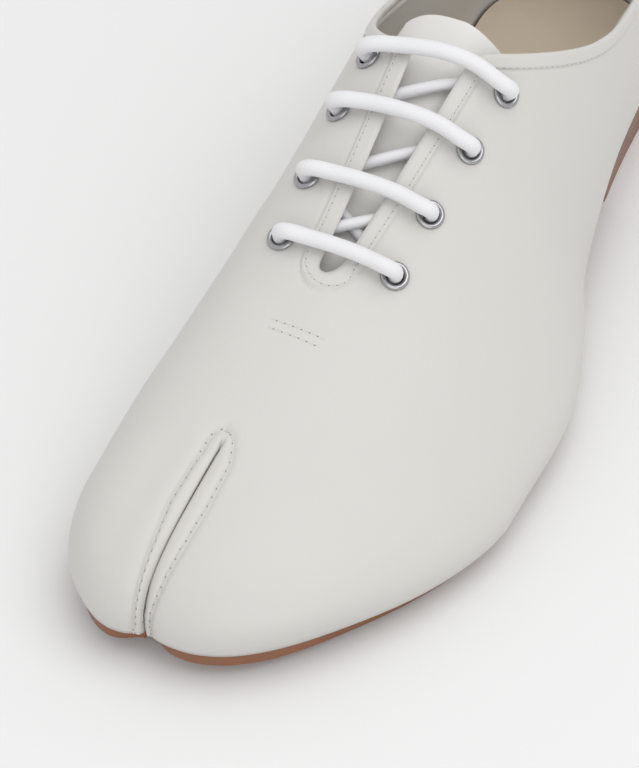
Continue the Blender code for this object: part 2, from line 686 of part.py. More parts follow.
def make_tongue(looks, collection):
    """A leather tongue below the throat, sewn under the vamp at its lower end."""
    rows = []
    for back in np.linspace(TONGUE_BOTTOM, TONGUE_TOP, 15):
        share = (back - TONGUE_BOTTOM) / (TONGUE_TOP - TONGUE_BOTTOM)
        half = TONGUE_HALF_WIDTH + (TONGUE_TOP_HALF_WIDTH - TONGUE_HALF_WIDTH) * share
        half *= 1.0 - 0.12 * ease((share - 0.9) / 0.1)
        depth = WALL + 0.5 + (TONGUE_DEPTH - WALL - 0.5) * ease((back - TONGUE_BOTTOM) / 22.0)
        middle = centre_line(back)
        row = []
        for offset in np.linspace(-half, half, 13):
            point, out = surface_frame(middle + offset, back)
            row.append(point - out * depth)
        rows.append(row)
    bm = bmesh.new()
    drape(bm, placed(rows))
    weld(bm)
    made = finish_mesh(bm, "tongue", looks["leather"], collection)
    thicken(made, TONGUE_THICKNESS)


def lace_bar(start, end):
    """Points and radii of a lace bar over the throat, from one eyelet bore to another."""
    path = []
    way = (end[0] - start[0]) / np.linalg.norm(end[0] - start[0])
    for (point, out), ahead in ((start, way), (end, -way)):
        ahead = ahead - out * float(ahead @ out)
        ahead /= np.linalg.norm(ahead)
        leg = [(point - out * 4.2, LACE_IN_EYELET), (point + out * 1.9, LACE_IN_EYELET),
               (point + out * 3.2 + ahead * 0.5, 0.92), (point + out * 4.2 + ahead * 1.7, 1.0),
               (point + out * 4.6 + ahead * 3.6, 1.0)]
        path.append(leg)
    across = []
    for share in np.linspace(0.24, 0.76, 5):
        x, back = start[0][:2] + (end[0][:2] - start[0][:2]) * share
        point, out = surface_frame(x, back)
        across.append((point + out * (LACE_RADIUS + 1.4), 1.0))
    return path[0] + across + path[1][::-1]


def lace_below(start, end):
    """Points and radii of a run between the facings and the tongue."""
    run = []
    for share in (0.18, 0.34, 0.5, 0.66, 0.82):
        x, back = start[0][:2] + (end[0][:2] - start[0][:2]) * share
        point, out = surface_frame(x, back)
        run.append((point - out * (WALL + 0.5 + LACE_RADIUS * LACE_BELOW), LACE_BELOW))
    return run


def make_lace(places, looks, collection):
    """One lace in straight bars, carried from row to row below the facings."""
    path = [(places["outer", 1][0] - places["outer", 1][1] * 4.4, LACE_BELOW)]
    for row in EYELETS:
        path += lace_bar(places["outer", row.row], places["inner", row.row])
        if row.row < len(EYELETS):
            path += lace_below(places["inner", row.row], places["outer", row.row + 1])
    path.append((places["inner", 4][0] - places["inner", 4][1] * 4.4, LACE_BELOW))
    curve = bpy.data.curves.new("lace", "CURVE")
    curve.dimensions = "3D"
    curve.bevel_depth = LACE_RADIUS * MM
    curve.bevel_resolution = 1
    curve.use_fill_caps = True
    cord = curve.splines.new("POLY")
    cord.points.add(len(path) - 1)
    for knot, (point, radius) in zip(cord.points, path):
        knot.co = (*placed(point), 1.0)
        knot.radius = radius
    curve.materials.append(looks["lace"])
    made = bpy.data.objects.new("lace", curve)
    collection.objects.link(made)


def build():
    for old in list(bpy.data.objects):
        bpy.data.objects.remove(old, do_unlink=True)
    scene = bpy.context.scene
    shoe = bpy.data.collections.new("split_toe_shoe")
    cutters = bpy.data.collections.new("cutters")
    scene.collection.children.link(shoe)
    scene.collection.children.link(cutters)
    cutters.hide_render = True
    looks = {
        "leather": material("white_leather", (0.80, 0.79, 0.76), 0.45),
        "sole": material("sole_leather", (0.40, 0.19, 0.10), 0.55),
        "heel": material("heel_leather", (0.36, 0.17, 0.09), 0.55),
        "lining": material("lining_leather", (0.72, 0.66, 0.58), 0.6),
        "metal": material("eyelet_metal", (0.62, 0.62, 0.63), 0.2, 1.0),
        "lace": material("white_lace", (0.85, 0.85, 0.86), 0.8),
    }
    places = eyelet_places()
    make_soles(looks, shoe)
    make_upper(places, looks, shoe, cutters)
    make_tongue(looks, shoe)
    make_eyelets(places, looks, shoe)
    make_lace(places, looks, shoe)


build()
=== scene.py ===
# %% [markdown]
# # A split toe lace-up shoe
# The solids of the shoe are already packed as a fixed frame in metres: toe to -Y, big toe side to -X,
# floor at z = 0.  This notebook dresses them.  It draws the leather again over the same last, finely
# enough for seams and folds, and gives every piece a material.  The first step loads the frame.

# %% Load the frame
import math
from collections import namedtuple

import bpy
import numpy as np
from mathutils import Matrix, Vector, kdtree
from mathutils.bvhtree import BVHTree


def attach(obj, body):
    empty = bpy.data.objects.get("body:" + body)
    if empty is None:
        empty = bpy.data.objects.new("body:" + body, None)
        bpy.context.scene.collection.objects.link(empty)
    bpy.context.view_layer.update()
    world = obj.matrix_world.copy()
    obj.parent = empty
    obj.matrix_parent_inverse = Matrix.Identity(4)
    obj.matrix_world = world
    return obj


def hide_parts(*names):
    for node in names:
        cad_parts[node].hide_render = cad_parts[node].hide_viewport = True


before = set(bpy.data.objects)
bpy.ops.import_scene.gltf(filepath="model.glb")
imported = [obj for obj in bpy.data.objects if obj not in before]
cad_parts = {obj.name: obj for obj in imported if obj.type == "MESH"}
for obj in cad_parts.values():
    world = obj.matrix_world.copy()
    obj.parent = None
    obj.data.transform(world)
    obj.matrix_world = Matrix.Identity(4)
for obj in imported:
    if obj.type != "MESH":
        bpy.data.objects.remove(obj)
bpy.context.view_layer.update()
MM = 0.001
print("solids in the frame:", sorted(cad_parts))

# %% [markdown]
# ## Camera
# The photograph looks down at the toe from the front and the outer side with a long lens.  A camera can
# be aimed by eye, but here its angles were fitted to the outline, the eyelets and the cleft.  The lens
# shift slides the picture without turning the camera, which keeps the shoe's upright lines.

# %% Camera
AZIMUTH = math.radians(24.0)
ELEVATION = math.radians(47.0)
DISTANCE = 1.0
AIM = Vector((0.002, -0.060, 0.040))
back_way = Vector((math.sin(AZIMUTH) * math.cos(ELEVATION), -math.cos(AZIMUTH) * math.cos(ELEVATION),
                   math.sin(ELEVATION)))
PHOTO_HEIGHT = 768.0
FOCAL_PIXELS = 3700.0
SLIDE_X_PIXELS = -28.8
SLIDE_Y_PIXELS = -2.75
SENSOR = 36.0
lens = bpy.data.cameras.new("photo_camera")
lens.lens = SENSOR * FOCAL_PIXELS / PHOTO_HEIGHT
lens.shift_x = SLIDE_X_PIXELS / PHOTO_HEIGHT
lens.shift_y = SLIDE_Y_PIXELS / PHOTO_HEIGHT
lens.clip_start = 0.05
camera = bpy.data.objects.new("photo_camera", lens)
bpy.context.scene.collection.objects.link(camera)
camera.location = AIM + back_way * DISTANCE
camera.rotation_euler = back_way.to_track_quat("Z", "Y").to_euler()
bpy.context.scene.camera = camera
print("camera at", [round(v, 3) for v in camera.location])

# %% [markdown]
# ## Sizes of the last
# A shoemaker stretches leather over a last.  These are the sizes of the solids, in millimetres, except
# that the outer toe line, the sole's edge and the slit are fitted more closely to the photograph.
# A station is a distance back from the toe tip, and each row of the table is one section across the last.
# Tables with named columns are easy to read and to change, which long lists of points are not.

# %% Sizes of the last
# Main sizes
LENGTH = 288.0
WALL = 2.0
SEAM_GAP = 0.3
SOLE_THICKNESS = 4.5
HEEL_LIFT = 13.0
TOE_SPRING = 6.0
TREAD_FRONT = 78.0
TREAD_BACK = 122.0
HEEL_BREAST = 214.0
INSOLE_THICKNESS = 2.0

# Lines across the last
AXIS_X = -20.2
MIDDLE_X = -2.0
TOE_STATION = 48.0
HEEL_X = -5.0
HEEL_STATION = 256.0

# Throat and collar
THROAT_BOTTOM = 97.0
THROAT_BOTTOM_X = -13.5
THROAT_TOP = 160.0
THROAT_TOP_X = -7.5
THROAT_ROUND = 3.0
THROAT_HALF_GAP = 2.6
THROAT_TOP_HALF_GAP = 7.6
BAND_WIDTH = 5.0
BACK_HEIGHT = 76.0
COLLAR_ROUND = 4.0

Section = namedtuple("Section", "station slant x_inner x_outer x_crest z_crest n_inner n_outer "
                     "tuck_inner tuck_outer")
SECTIONS = [
    Section(48.0, 0.43, -56.0, 56.5, -18.5, 44.0, 3.00, 1.90, 3.0, 8.6),
    Section(70.0, 0.42, -55.8, 57.0, -15.5, 51.5, 3.00, 1.85, 3.0, 8.4),
    Section(92.0, 0.39, -53.8, 55.6, -12.5, 60.0, 3.00, 1.80, 3.5, 7.4),
    Section(112.0, 0.34, -51.0, 51.0, -10.0, 68.5, 3.00, 1.80, 5.0, 6.4),
    Section(132.0, 0.28, -48.3, 45.2, -8.5, 77.5, 3.00, 1.80, 6.5, 5.0),
    Section(152.0, 0.21, -46.4, 38.8, -7.5, 86.5, 2.95, 1.80, 7.5, 3.4),
    Section(174.0, 0.14, -44.2, 34.8, -7.0, 96.0, 2.80, 1.85, 6.5, 3.0),
    Section(200.0, 0.08, -41.2, 31.0, -6.0, 107.0, 2.50, 1.95, 4.5, 2.6),
    Section(228.0, 0.03, -38.2, 28.0, -5.2, 116.0, 2.25, 2.10, 2.6, 2.2),
    Section(256.0, 0.00, -37.0, 27.0, -5.0, 120.0, 2.15, 2.15, 2.0, 2.0),
]

Edge = namedtuple("Edge", "station z_inner z_outer")
COLLAR = [
    Edge(145.0, 100.0, 100.0),
    Edge(163.0, 91.0, 91.0),
    Edge(180.0, 82.5, 82.5),
    Edge(202.0, 73.5, 72.0),
    Edge(228.0, 68.5, 65.5),
    Edge(256.0, 68.5, 66.5),
]

# %% [markdown]
# ## Sizes of the toe and the cleft
# The split toe has two lobes with a slit between them, and the leather beside the slit is sewn back.  The
# table gives the width of that strip, the dip of the lip and the gap of the slit.  An extruded groove would
# be quicker, but a table lets the groove change along its length as the real one does.

# %% Sizes of toe and cleft
# Toe dome and how the leather turns in above the sole
TOE_START = 0.50
TOE_FULLNESS = 0.62
TOE_TUCK = 1.6
TUCK_HEIGHT = 7.0
TUCK_RISE = 1.8

# Cleft: shares along it from its end to the sole, seam, lip and slit sizes
CLEFT_END_X = -20.2
CLEFT_FRONT_X = -23.6
CLEFT_BACK = 44.0
CLEFT_END_HALF = 0.6
Cleft = namedtuple("Cleft", "along inner_width outer_width lip_depth half_gap")
CLEFT = [
    Cleft(0.00, 1.8, 1.8, 0.0, 0.15),
    Cleft(0.03, 2.8, 3.4, 0.3, 0.15),
    Cleft(0.10, 4.0, 5.2, 0.8, 0.18),
    Cleft(0.28, 4.5, 5.6, 1.0, 0.16),
    Cleft(0.45, 3.4, 5.1, 1.0, 0.10),
    Cleft(0.72, 2.2, 3.6, 0.9, 0.08),
    Cleft(1.00, 1.4, 1.8, 0.6, 0.20),
]

# %% [markdown]
# ## Sizes of the small pieces
# Eyelets and laces come in standard sizes, so they set the scale of the whole shoe.  Each eyelet has its own
# place, because the two facings aren't mirror images of each other.

# %% Sizes of eyelets, lace, tongue and soles
# Eyelets, lace and tongue
EYELET_BORE = 2.35
EYELET_BARREL = 2.7
EYELET_FLANGE = 4.1
EYELET_TALL = 1.1
LACE_RADIUS = 2.3
LACE_IN_EYELET = 0.82
LACE_BELOW = 0.74
TONGUE_THICKNESS = 1.8
TONGUE_DEPTH = 6.6
TONGUE_BOTTOM = 84.0
TONGUE_TOP = 176.0
TONGUE_HALF_WIDTH = 21.0
TONGUE_TOP_HALF_WIDTH = 25.0

Eyelet = namedtuple("Eyelet", "row x_inner back_inner x_outer back_outer")
EYELETS = [
    Eyelet(1, -29.0, 104.4, 3.4, 107.3),
    Eyelet(2, -29.5, 122.7, 5.7, 125.9),
    Eyelet(3, -29.4, 143.4, 8.9, 146.0),
    Eyelet(4, -27.7, 159.6, 11.4, 165.3),
]

# Sole and insole outlines
SOLE_EDGE = -0.9
SOLE_EDGE_OUTER = -2.7
SOLE_EDGE_NOTCH = -2.3
SOLE_SLOT = 1.1
INSOLE_INSET = WALL + 0.5
INSOLE_SLOT = WALL + 1.6
HEEL_INSET = 1.1
HEEL_TAPER = 0.97

# Toe outline: for each lobe the most forward point, the corner at the slit and the fullness
Lobe = namedtuple("Lobe", "x_tip station_tip full_tip full_side x_inside station_inside power_inside")
INNER_LOBE = Lobe(-31.0, 0.0, 0.56, 0.54, -23.6, 5.0, 2.2)
OUTER_LOBE = Lobe(-13.0, 0.8, 0.54, 0.28, -23.6, 5.5, 2.4)

# %% [markdown]
# ## Curves of the last
# A cubic spline through each column of the table gives the section at any station.  Blender's own curve
# objects could do this too, but plain functions can be asked for a value anywhere, which the seams,
# stitches and lace below all need.

# %% Splines
def spline(knots, values, flat_start=False, flat_end=False):
    """Cubic curve through the values, smooth to the second derivative."""
    knots = np.asarray(knots, float)
    values = np.asarray(values, float)
    count = len(knots)
    step = np.diff(knots)
    rise = np.diff(values) / step
    matrix = np.zeros((count, count))
    right = np.zeros(count)
    for k in range(1, count - 1):
        matrix[k, k - 1] = 1.0 / step[k - 1]
        matrix[k, k] = 2.0 / step[k - 1] + 2.0 / step[k]
        matrix[k, k + 1] = 1.0 / step[k]
        right[k] = 3.0 * (rise[k - 1] / step[k - 1] + rise[k] / step[k])
    if flat_start:
        matrix[0, 0] = 1.0
    else:
        matrix[0, :2] = 2.0, 1.0
        right[0] = 3.0 * rise[0]
    if flat_end:
        matrix[-1, -1] = 1.0
    else:
        matrix[-1, -2:] = 1.0, 2.0
        right[-1] = 3.0 * rise[-1]
    slope = np.linalg.solve(matrix, right)

    def curve(at):
        at = np.clip(np.asarray(at, float), knots[0], knots[-1])
        k = np.clip(np.searchsorted(knots, at) - 1, 0, count - 2)
        t = (at - knots[k]) / step[k]
        return ((1 + 2 * t) * (1 - t) ** 2 * values[k] + t * (1 - t) ** 2 * step[k] * slope[k]
                + t * t * (3 - 2 * t) * values[k + 1] + t * t * (t - 1) * step[k] * slope[k + 1])

    return curve


def ease(value):
    """0 below 0, 1 above 1, and a smooth step between."""
    value = np.clip(value, 0.0, 1.0)
    return value * value * (3.0 - 2.0 * value)

# %% [markdown]
# ## Columns as curves
# Each column of the tables becomes one smooth curve.  Straight lines between the rows would show as flat
# bands in the leather, which a soft light makes very plain.

# %% Columns as curves
STATIONS = [row.station for row in SECTIONS]
COLUMN = {name: spline(STATIONS, [getattr(row, name) for row in SECTIONS], True, True)
          for name in ("slant", "x_inner", "x_outer")}
COLUMN.update({name: spline(STATIONS, [getattr(row, name) for row in SECTIONS])
               for name in ("x_crest", "z_crest", "n_inner", "n_outer", "tuck_inner", "tuck_outer")})
CENTRE = spline([TOE_STATION, THROAT_BOTTOM, THROAT_TOP, HEEL_STATION],
                [CLEFT_END_X, THROAT_BOTTOM_X, THROAT_TOP_X, HEEL_X])
HEEL_BACK = spline([0.0, 0.4, 0.75, 1.0], [30.0, 32.0, 30.0, 26.5])
COLLAR_INNER = spline([row.station for row in COLLAR], [row.z_inner for row in COLLAR], False, True)
COLLAR_OUTER = spline([row.station for row in COLLAR], [row.z_outer for row in COLLAR], False, True)

# %% [markdown]
# ## Sole line and sections
# The sole rises at the toe, lies flat at the tread and climbs over the arch to the heel.  A section is a
# rounded arch whose fullness is one number on each side.  A drawn profile would need many more points.

# %% Sole line and sections
def sole_bottom(station):
    """Height of the outsole's underside: toe spring, flat tread, arch and heel seat."""
    station = np.asarray(station, float)
    spring = TOE_SPRING * np.clip((TREAD_FRONT - station) / TREAD_FRONT, 0.0, None) ** 2
    arch = HEEL_LIFT * ease((station - TREAD_BACK) / (HEEL_BREAST - TREAD_BACK))
    return spring + arch


def feather(station):
    """Height of the upper's lower edge, just above the outsole."""
    return sole_bottom(station) + SOLE_THICKNESS + SEAM_GAP


def plan_point(station, x):
    """How far back from the toe tip a section's plane is at x."""
    return station + COLUMN["slant"](station) * (x - AXIS_X)


def section_arc(station, count=160):
    """Dense points of one section, from the inner feather edge to the outer one."""
    turn = np.linspace(0.0, math.pi / 2, count)
    crest = COLUMN["x_crest"](station)
    height = COLUMN["z_crest"](station) - feather(station)
    halves = []
    for side, power in (("x_inner", "n_inner"), ("x_outer", "n_outer")):
        root = 2.0 / COLUMN[power](station)
        across = np.cos(turn) ** root
        up = np.sin(turn) ** root
        x = crest + (COLUMN[side](station) - crest) * across
        halves.append(np.stack([x, height * up], axis=1))
    arc = np.concatenate([halves[0], halves[1][-2::-1]])
    back = plan_point(station, arc[:, 0])
    return np.stack([arc[:, 0], back, feather(back) + arc[:, 1], arc[:, 1]], axis=1)

# %% [markdown]
# ## Throat and collar edges
# The leather ends at the throat, where the lace is, and at the collar, where the foot goes in.  Both edges
# are found on the sections and the corner between them is rounded.  A Boolean could cut the opening out of
# a closed form, but its edge wouldn't run along the rows.

# %% Throat and collar edges
def centre_line(station):
    """Where the cleft line turns into the throat line."""
    return float(CENTRE(station))


def half_gap(station):
    """Half the throat's width: a round bottom, then two sides that part slowly."""
    into = max(station - THROAT_BOTTOM, 0.0)
    rounded = math.sqrt(max(0.0, 1.0 - max(0.0, 1.0 - into / THROAT_ROUND) ** 2))
    spread = (THROAT_TOP_HALF_GAP - THROAT_HALF_GAP) * min(into / (THROAT_TOP - THROAT_BOTTOM), 1.3)
    return rounded * (THROAT_HALF_GAP + spread)


def half_section(station, side):
    """One half of a section from the feather edge to the throat or collar edge."""
    arc = section_arc(station)
    if side > 0:
        arc = arc[::-1]
    run = np.concatenate([[0.0], np.cumsum(np.linalg.norm(np.diff(arc[:, :3], axis=0), axis=1))])
    stop_x = centre_line(station) + side * half_gap(station)
    end = float(np.interp(side * -stop_x, side * -arc[:, 0], run))
    collar = (COLLAR_INNER if side < 0 else COLLAR_OUTER)(station)
    rising = slice(0, int(np.argmax(arc[:, 2])) + 1)
    if station > COLLAR[0].station and collar < arc[rising, 2][-1]:
        end = min(end, float(np.interp(collar, arc[rising, 2], run[rising])))
    return arc, run, end


def band_width(station):
    """Width of the strip of lines beside the cleft line, the throat and the collar."""
    return CLEFT[0].inner_width + (BAND_WIDTH - CLEFT[0].inner_width) * float(
        ease((station - TOE_STATION) / (THROAT_BOTTOM - TOE_STATION)))


def turned_in(amount, height):
    """How far the leather is turned in at a height above the sole."""
    return amount * np.clip(1.0 - height / (TUCK_HEIGHT + TUCK_RISE * amount), 0.0, 1.0) ** 2


def edge_line(side, count=420):
    """Throat and collar edge of one quarter: station and run up the section, at even steps."""
    stations = np.linspace(THROAT_BOTTOM, HEEL_STATION, count)
    raw = np.array([[station, half_section(station, side)[2]] for station in stations])
    length = np.concatenate([[0.0], np.cumsum(np.linalg.norm(np.diff(raw, axis=0), axis=1))])
    even = np.linspace(0.0, length[-1], count)
    line = np.stack([np.interp(even, length, raw[:, k]) for k in range(2)], axis=1)
    near = np.exp(-((even[:, None] - even[None, :]) / COLLAR_ROUND) ** 2)
    soft = near @ line / near.sum(axis=1, keepdims=True)
    share = ease((line[:, 0] - THROAT_BOTTOM - 20.0) / 20.0) * ease((HEEL_STATION - line[:, 0]) / 14.0)
    return line + (soft - line) * share[:, None]

# %% [markdown]
# ## Points on the leather
# Eyelets, stitches and lace stand on the leather, so they ask for a point on the last and the way out of it.
# One more tool turns the tables' millimetres into Blender's metres.

# %% Points in shoe sizes and in metres
def surface_height(x, back):
    """Height of the closed last at a place in plan, as if it had no throat."""
    station = back
    for _ in range(8):
        station = back - float(COLUMN["slant"](station)) * (x - AXIS_X)
    arc = section_arc(station)
    return float(np.interp(x, arc[:, 0], arc[:, 2]))


def surface_frame(x, back):
    """Point on the last and the way out of it."""
    nudge = 0.5
    slope_x = (surface_height(x + nudge, back) - surface_height(x - nudge, back)) / (2.0 * nudge)
    slope_y = (surface_height(x, back + nudge) - surface_height(x, back - nudge)) / (2.0 * nudge)
    out = np.array([-slope_x, -slope_y, 1.0])
    return np.array([x, back, surface_height(x, back)]), out / np.linalg.norm(out)


def placed(points):
    """Table places in millimetres to Blender's metres, with the shoe's middle at x = y = 0."""
    points = np.array(points, float)
    points[..., 0] -= MIDDLE_X
    points[..., 1] -= LENGTH / 2
    return points * MM

# %% [markdown]
# ## Rows of the leather
# The leather is laid in rows, as in the solids.  The lines in a row lie closer together towards the
# seams, because that is where the small steps are.  Beside the slit the two lips are puffed up
# like soft piping, which the photograph shows from the top of the cleft down to the sole.

# %% Rows across the vamp
WALL_LINES = 40
BAND_LINES = 20
LIP_PUFF = 0.75


def wall_shares():
    """Shares up the wall, closer together towards the edge."""
    return 1.0 - (1.0 - np.linspace(0.0, 1.0, WALL_LINES + 1)) ** 1.7


def band_shares():
    return np.linspace(0.0, 1.0, BAND_LINES + 1)[1:]


def half_row(station, side, tucked=True):
    """Points of one half section: the wall, then the strip at the edge."""
    arc, run, end = half_section(station, side)
    strip = band_width(station)
    at = np.concatenate([(end - strip) * wall_shares(), end - strip + strip * band_shares()])
    row = np.stack([np.interp(at, run, arc[:, k]) for k in range(4)], axis=1)
    if tucked:
        amount = COLUMN["tuck_inner" if side < 0 else "tuck_outer"](station)
        row[:, 0] -= side * turned_in(amount, row[:, 3])
    return row[:, :3]

# %% [markdown]
# ## Rows of the quarters
# The quarters are the two sides behind the throat.  Their rows start evenly along the sole and end squarely
# on the edge, because rows that cross the corner of the collar at a slant would fold over each other.

# %% Rows of the quarters
def surface_point(station, run_at, side):
    """Point of the leather at a station, a run up from the feather edge."""
    arc, run, _ = half_section(station, side)
    point = np.array([np.interp(run_at, run, arc[:, k]) for k in range(4)])
    amount = COLUMN["tuck_inner" if side < 0 else "tuck_outer"](station)
    point[0] -= side * turned_in(amount, point[3])
    return point[:3]


CORNER_WINDOW = 0.035


def quarter_row(share, side, line):
    """One row of a quarter: from the feather edge, squarely into the throat or collar edge."""
    even = np.linspace(0.0, 1.0, len(line))
    edge = np.array([np.interp(share, even, line[:, k]) for k in range(2)])
    ahead = np.array([np.interp(share + CORNER_WINDOW, even, line[:, k]) for k in range(2)])
    behind = np.array([np.interp(share - CORNER_WINDOW, even, line[:, k]) for k in range(2)])
    way = (ahead - behind) / np.linalg.norm(ahead - behind)
    square = float(ease((edge[0] - THROAT_BOTTOM - 25.0) / 20.0)) * float(ease((1.0 - share) / 0.08))
    down = np.array([way[1], -way[0]]) * square + np.array([0.0, -1.0]) * (1.0 - square)
    seam = edge + down / np.linalg.norm(down) * BAND_WIDTH
    foot = THROAT_BOTTOM + share * (HEEL_STATION - THROAT_BOTTOM)
    row = []
    for up in wall_shares():
        row.append(surface_point(foot + (seam[0] - foot) * up * up, seam[1] * up, side))
    for over in band_shares():
        row.append(surface_point(*(seam + (edge - seam) * over), side))
    return np.array(row)

# %% [markdown]
# ## Lines over the toe
# Seen from above, the toe's edge is one curve from the tip of each lobe to the side.  Seen from the side,
# each line over the toe is another curve, down to the sole.  Together they make the dome, which a
# subdivided box would only come near.

# %% Lines over the toe
def lobe_of(side):
    """The toe lobe on one side, and where its outline meets the first section."""
    lobe = INNER_LOBE if side < 0 else OUTER_LOBE
    pole = SECTIONS[0].x_inner if side < 0 else SECTIONS[0].x_outer
    return lobe, pole


def toe_outline(x, side):
    """Station of the toe's edge at x, seen from above."""
    lobe, pole = lobe_of(side)
    t = np.linspace(0.0, 1.0, 400)
    near = 3.0 * (1.0 - t) ** 2 * t
    far = 3.0 * (1.0 - t) * t * t
    across = near * lobe.full_tip + far + t ** 3
    behind = far * (1.0 - lobe.full_side) + t ** 3
    outward = np.clip((x - lobe.x_tip) / (pole - lobe.x_tip), 0.0, 1.0)
    inward = np.clip((x - lobe.x_tip) / (lobe.x_inside - lobe.x_tip), 0.0, 1.0)
    depth = plan_point(TOE_STATION, pole) - lobe.station_tip
    notch = lobe.station_inside - lobe.station_tip
    back = lobe.station_tip + depth * np.interp(outward, across, behind)
    return back + notch * (1.0 - (1.0 - inward ** lobe.power_inside) ** (1.0 / lobe.power_inside))


def toe_profile(along, slope):
    """A toe line seen from the side: share of its reach and share of its height."""
    near = 3.0 * (1.0 - along) ** 2 * along
    far = 3.0 * (1.0 - along) * along ** 2
    reach = near * TOE_START + far + along ** 3
    height = (1.0 - along) ** 3 + near * (1.0 + slope * TOE_START) + far * TOE_FULLNESS
    return reach, height


def toe_lines(x, along, side):
    """Points of the toe dome at x, one share of the way from the first section to the edge."""
    first = section_arc(TOE_STATION)
    second = section_arc(TOE_STATION + 3.0)
    start = plan_point(TOE_STATION, x)
    reach = np.maximum(start - toe_outline(x, side), 0.0)
    tall = np.interp(x, first[:, 0], first[:, 3])
    behind = np.interp(x, second[:, 0], second[:, 3])
    slope = np.clip((tall - behind) / 3.0 * reach / np.maximum(tall, 1.0), -0.9, 0.0)
    out, up = toe_profile(along, slope)
    back = start - reach * out
    nudge = 0.02
    lean = (toe_outline(x + nudge, side) - toe_outline(x - nudge, side)) / (2.0 * nudge)
    norm = np.sqrt(1.0 + lean * lean)
    lobe, pole = lobe_of(side)
    flank = COLUMN["tuck_inner" if side < 0 else "tuck_outer"](TOE_STATION)
    outward = np.clip((x - lobe.x_tip) / (pole - lobe.x_tip), 0.0, 1.0)
    tuck = turned_in(TOE_TUCK + (flank - TOE_TUCK) * ease(outward * 1.4), tall * up)
    turn = ease(along * 3.0)
    px = x - tuck * (turn * lean / norm + (1.0 - turn) * side)
    pb = back + tuck * turn / norm
    return np.stack([px, pb, feather(pb) + tall * up], axis=-1)


def cleft_shape(along, side):
    """Width from the slit to the seam, lip depth and half gap of the slit."""
    return [float(np.interp(along, [row.along for row in CLEFT], [getattr(row, name) for row in CLEFT]))
            for name in ("inner_width" if side < 0 else "outer_width", "lip_depth", "half_gap")]

# %% [markdown]
# ## Rows over a toe lobe
# Each row goes up the wall of a lobe, over its top to the seam, over the soft lip and down into the slit.
# The rows of both lobes meet at the back of the slit, so the leather stays one sheet.

# %% Rows over a toe lobe
def toe_row(along, side):
    """One row over a toe lobe: wall, top, seam, lip and the side of the cleft."""
    width, lip, gap = cleft_shape(along, side)
    _, pole = lobe_of(side)
    middle = CLEFT_END_X + (CLEFT_FRONT_X - CLEFT_END_X) * toe_profile(along, 0.0)[0]
    seam = middle + side * width
    first = half_row(TOE_STATION, side)
    even = half_row(TOE_STATION, side, tucked=False)[:WALL_LINES + 1, 0]
    x = pole + (seam - pole) * (even - even[0]) / (even[-1] - even[0])
    wall = toe_lines(x, along, side)
    wall[0] = first[0]
    if along == 0.0:
        return first
    crown = toe_lines(np.array([middle + side * 0.01]), along, side)[0]
    crown[1:] = wall[-1, 1:] * 0.5 + crown[1:] * 0.5
    top = toe_lines(np.array([CLEFT_END_X]), 0.0, side)[0]
    root = np.array([CLEFT_END_X, CLEFT_BACK, feather(CLEFT_BACK)])
    _, fall = toe_profile(along, -0.5)
    hinge = top + (root - top) * (1.0 - fall)
    hinge[0] = CLEFT_END_X
    into = hinge - crown
    into[0] = 0.0
    into[2] -= 3.0
    into /= np.linalg.norm(into)
    opened = float(ease(along / 0.3))
    lips = BAND_LINES * 3 // 5
    swell = LIP_PUFF * float(ease(along / 0.16)) * min(1.0, width / 3.5)
    rows = []
    for k in range(1, lips + 1):
        share = k / lips
        puff = swell * math.sin(math.pi * share ** 0.8)
        dip = lip * (1.0 - math.sqrt(1.0 - share * share)) - puff
        point = wall[-1] + (crown - wall[-1]) * share + into * dip
        point[0] = seam + (middle + side * gap - seam) * share
        rows.append(point)
    slit = rows[-1]
    foot = hinge + np.array([side * (0.1 + CLEFT_END_HALF * opened), 0.0, 0.0])
    for k in range(1, BAND_LINES - lips):
        rows.append(slit + (foot - slit) * k / (BAND_LINES - lips - 1))
    rows.append(hinge + np.array([0.0, CLEFT_END_HALF * opened, 0.0]))
    return np.concatenate([wall, rows])

# %% [markdown]
# ## Rows round the heel
# The heel is finished plainly.  The last section is turned to the back with a small bulge in the middle.
# Spin would give a true circle, which a heel isn't.

# %% Rows round the heel
def heel_row(turn, side):
    """One upright row of the heel, turned from the side (0) to the back (1)."""
    flank = half_row(HEEL_STATION, side)
    angle = turn * math.pi / 2
    run = heel_shares()
    bulge = HEEL_BACK(run)
    top = BACK_HEIGHT - feather(LENGTH)
    z_back = feather(LENGTH) + top * run
    x = HEEL_X + (flank[:, 0] - HEEL_X) * math.cos(angle)
    back = HEEL_STATION + bulge * math.sin(angle)
    z = flank[:, 2] + (z_back - flank[:, 2]) * math.sin(angle) ** 2
    return np.stack([x, back, z], axis=1)


def heel_shares():
    """Shares of the heel's height for the rows of points up its back."""
    strip = BAND_WIDTH / (BACK_HEIGHT - feather(LENGTH))
    return np.concatenate([(1.0 - strip) * wall_shares(),
                           1.0 - strip + strip * band_shares()])

# %% [markdown]
# ## Small tools
# A few helpers serve every piece.  `grid_piece` lays Blender's grid primitive over a block of points,
# `join_pieces` joins and welds the blocks, and `use_modifiers` applies what a piece carries, so that each
# finished piece is one plain mesh at the origin.
# %% Small tools
scene = bpy.context.scene


def only(piece):
    """Select one object and make it active."""
    bpy.ops.object.select_all(action="DESELECT")
    piece.select_set(True)
    bpy.context.view_layer.objects.active = piece


def grid_piece(name, points):
    """A grid primitive moved onto a block of points in metres."""
    rows, columns = points.shape[:2]
    bpy.ops.object.select_all(action="DESELECT")
    bpy.ops.mesh.primitive_grid_add(x_subdivisions=columns - 1, y_subdivisions=rows - 1, size=2.0)
    piece = bpy.context.object
    piece.name = name
    piece.data.vertices.foreach_set("co", points.reshape(-1))
    piece.data.update()
    return piece


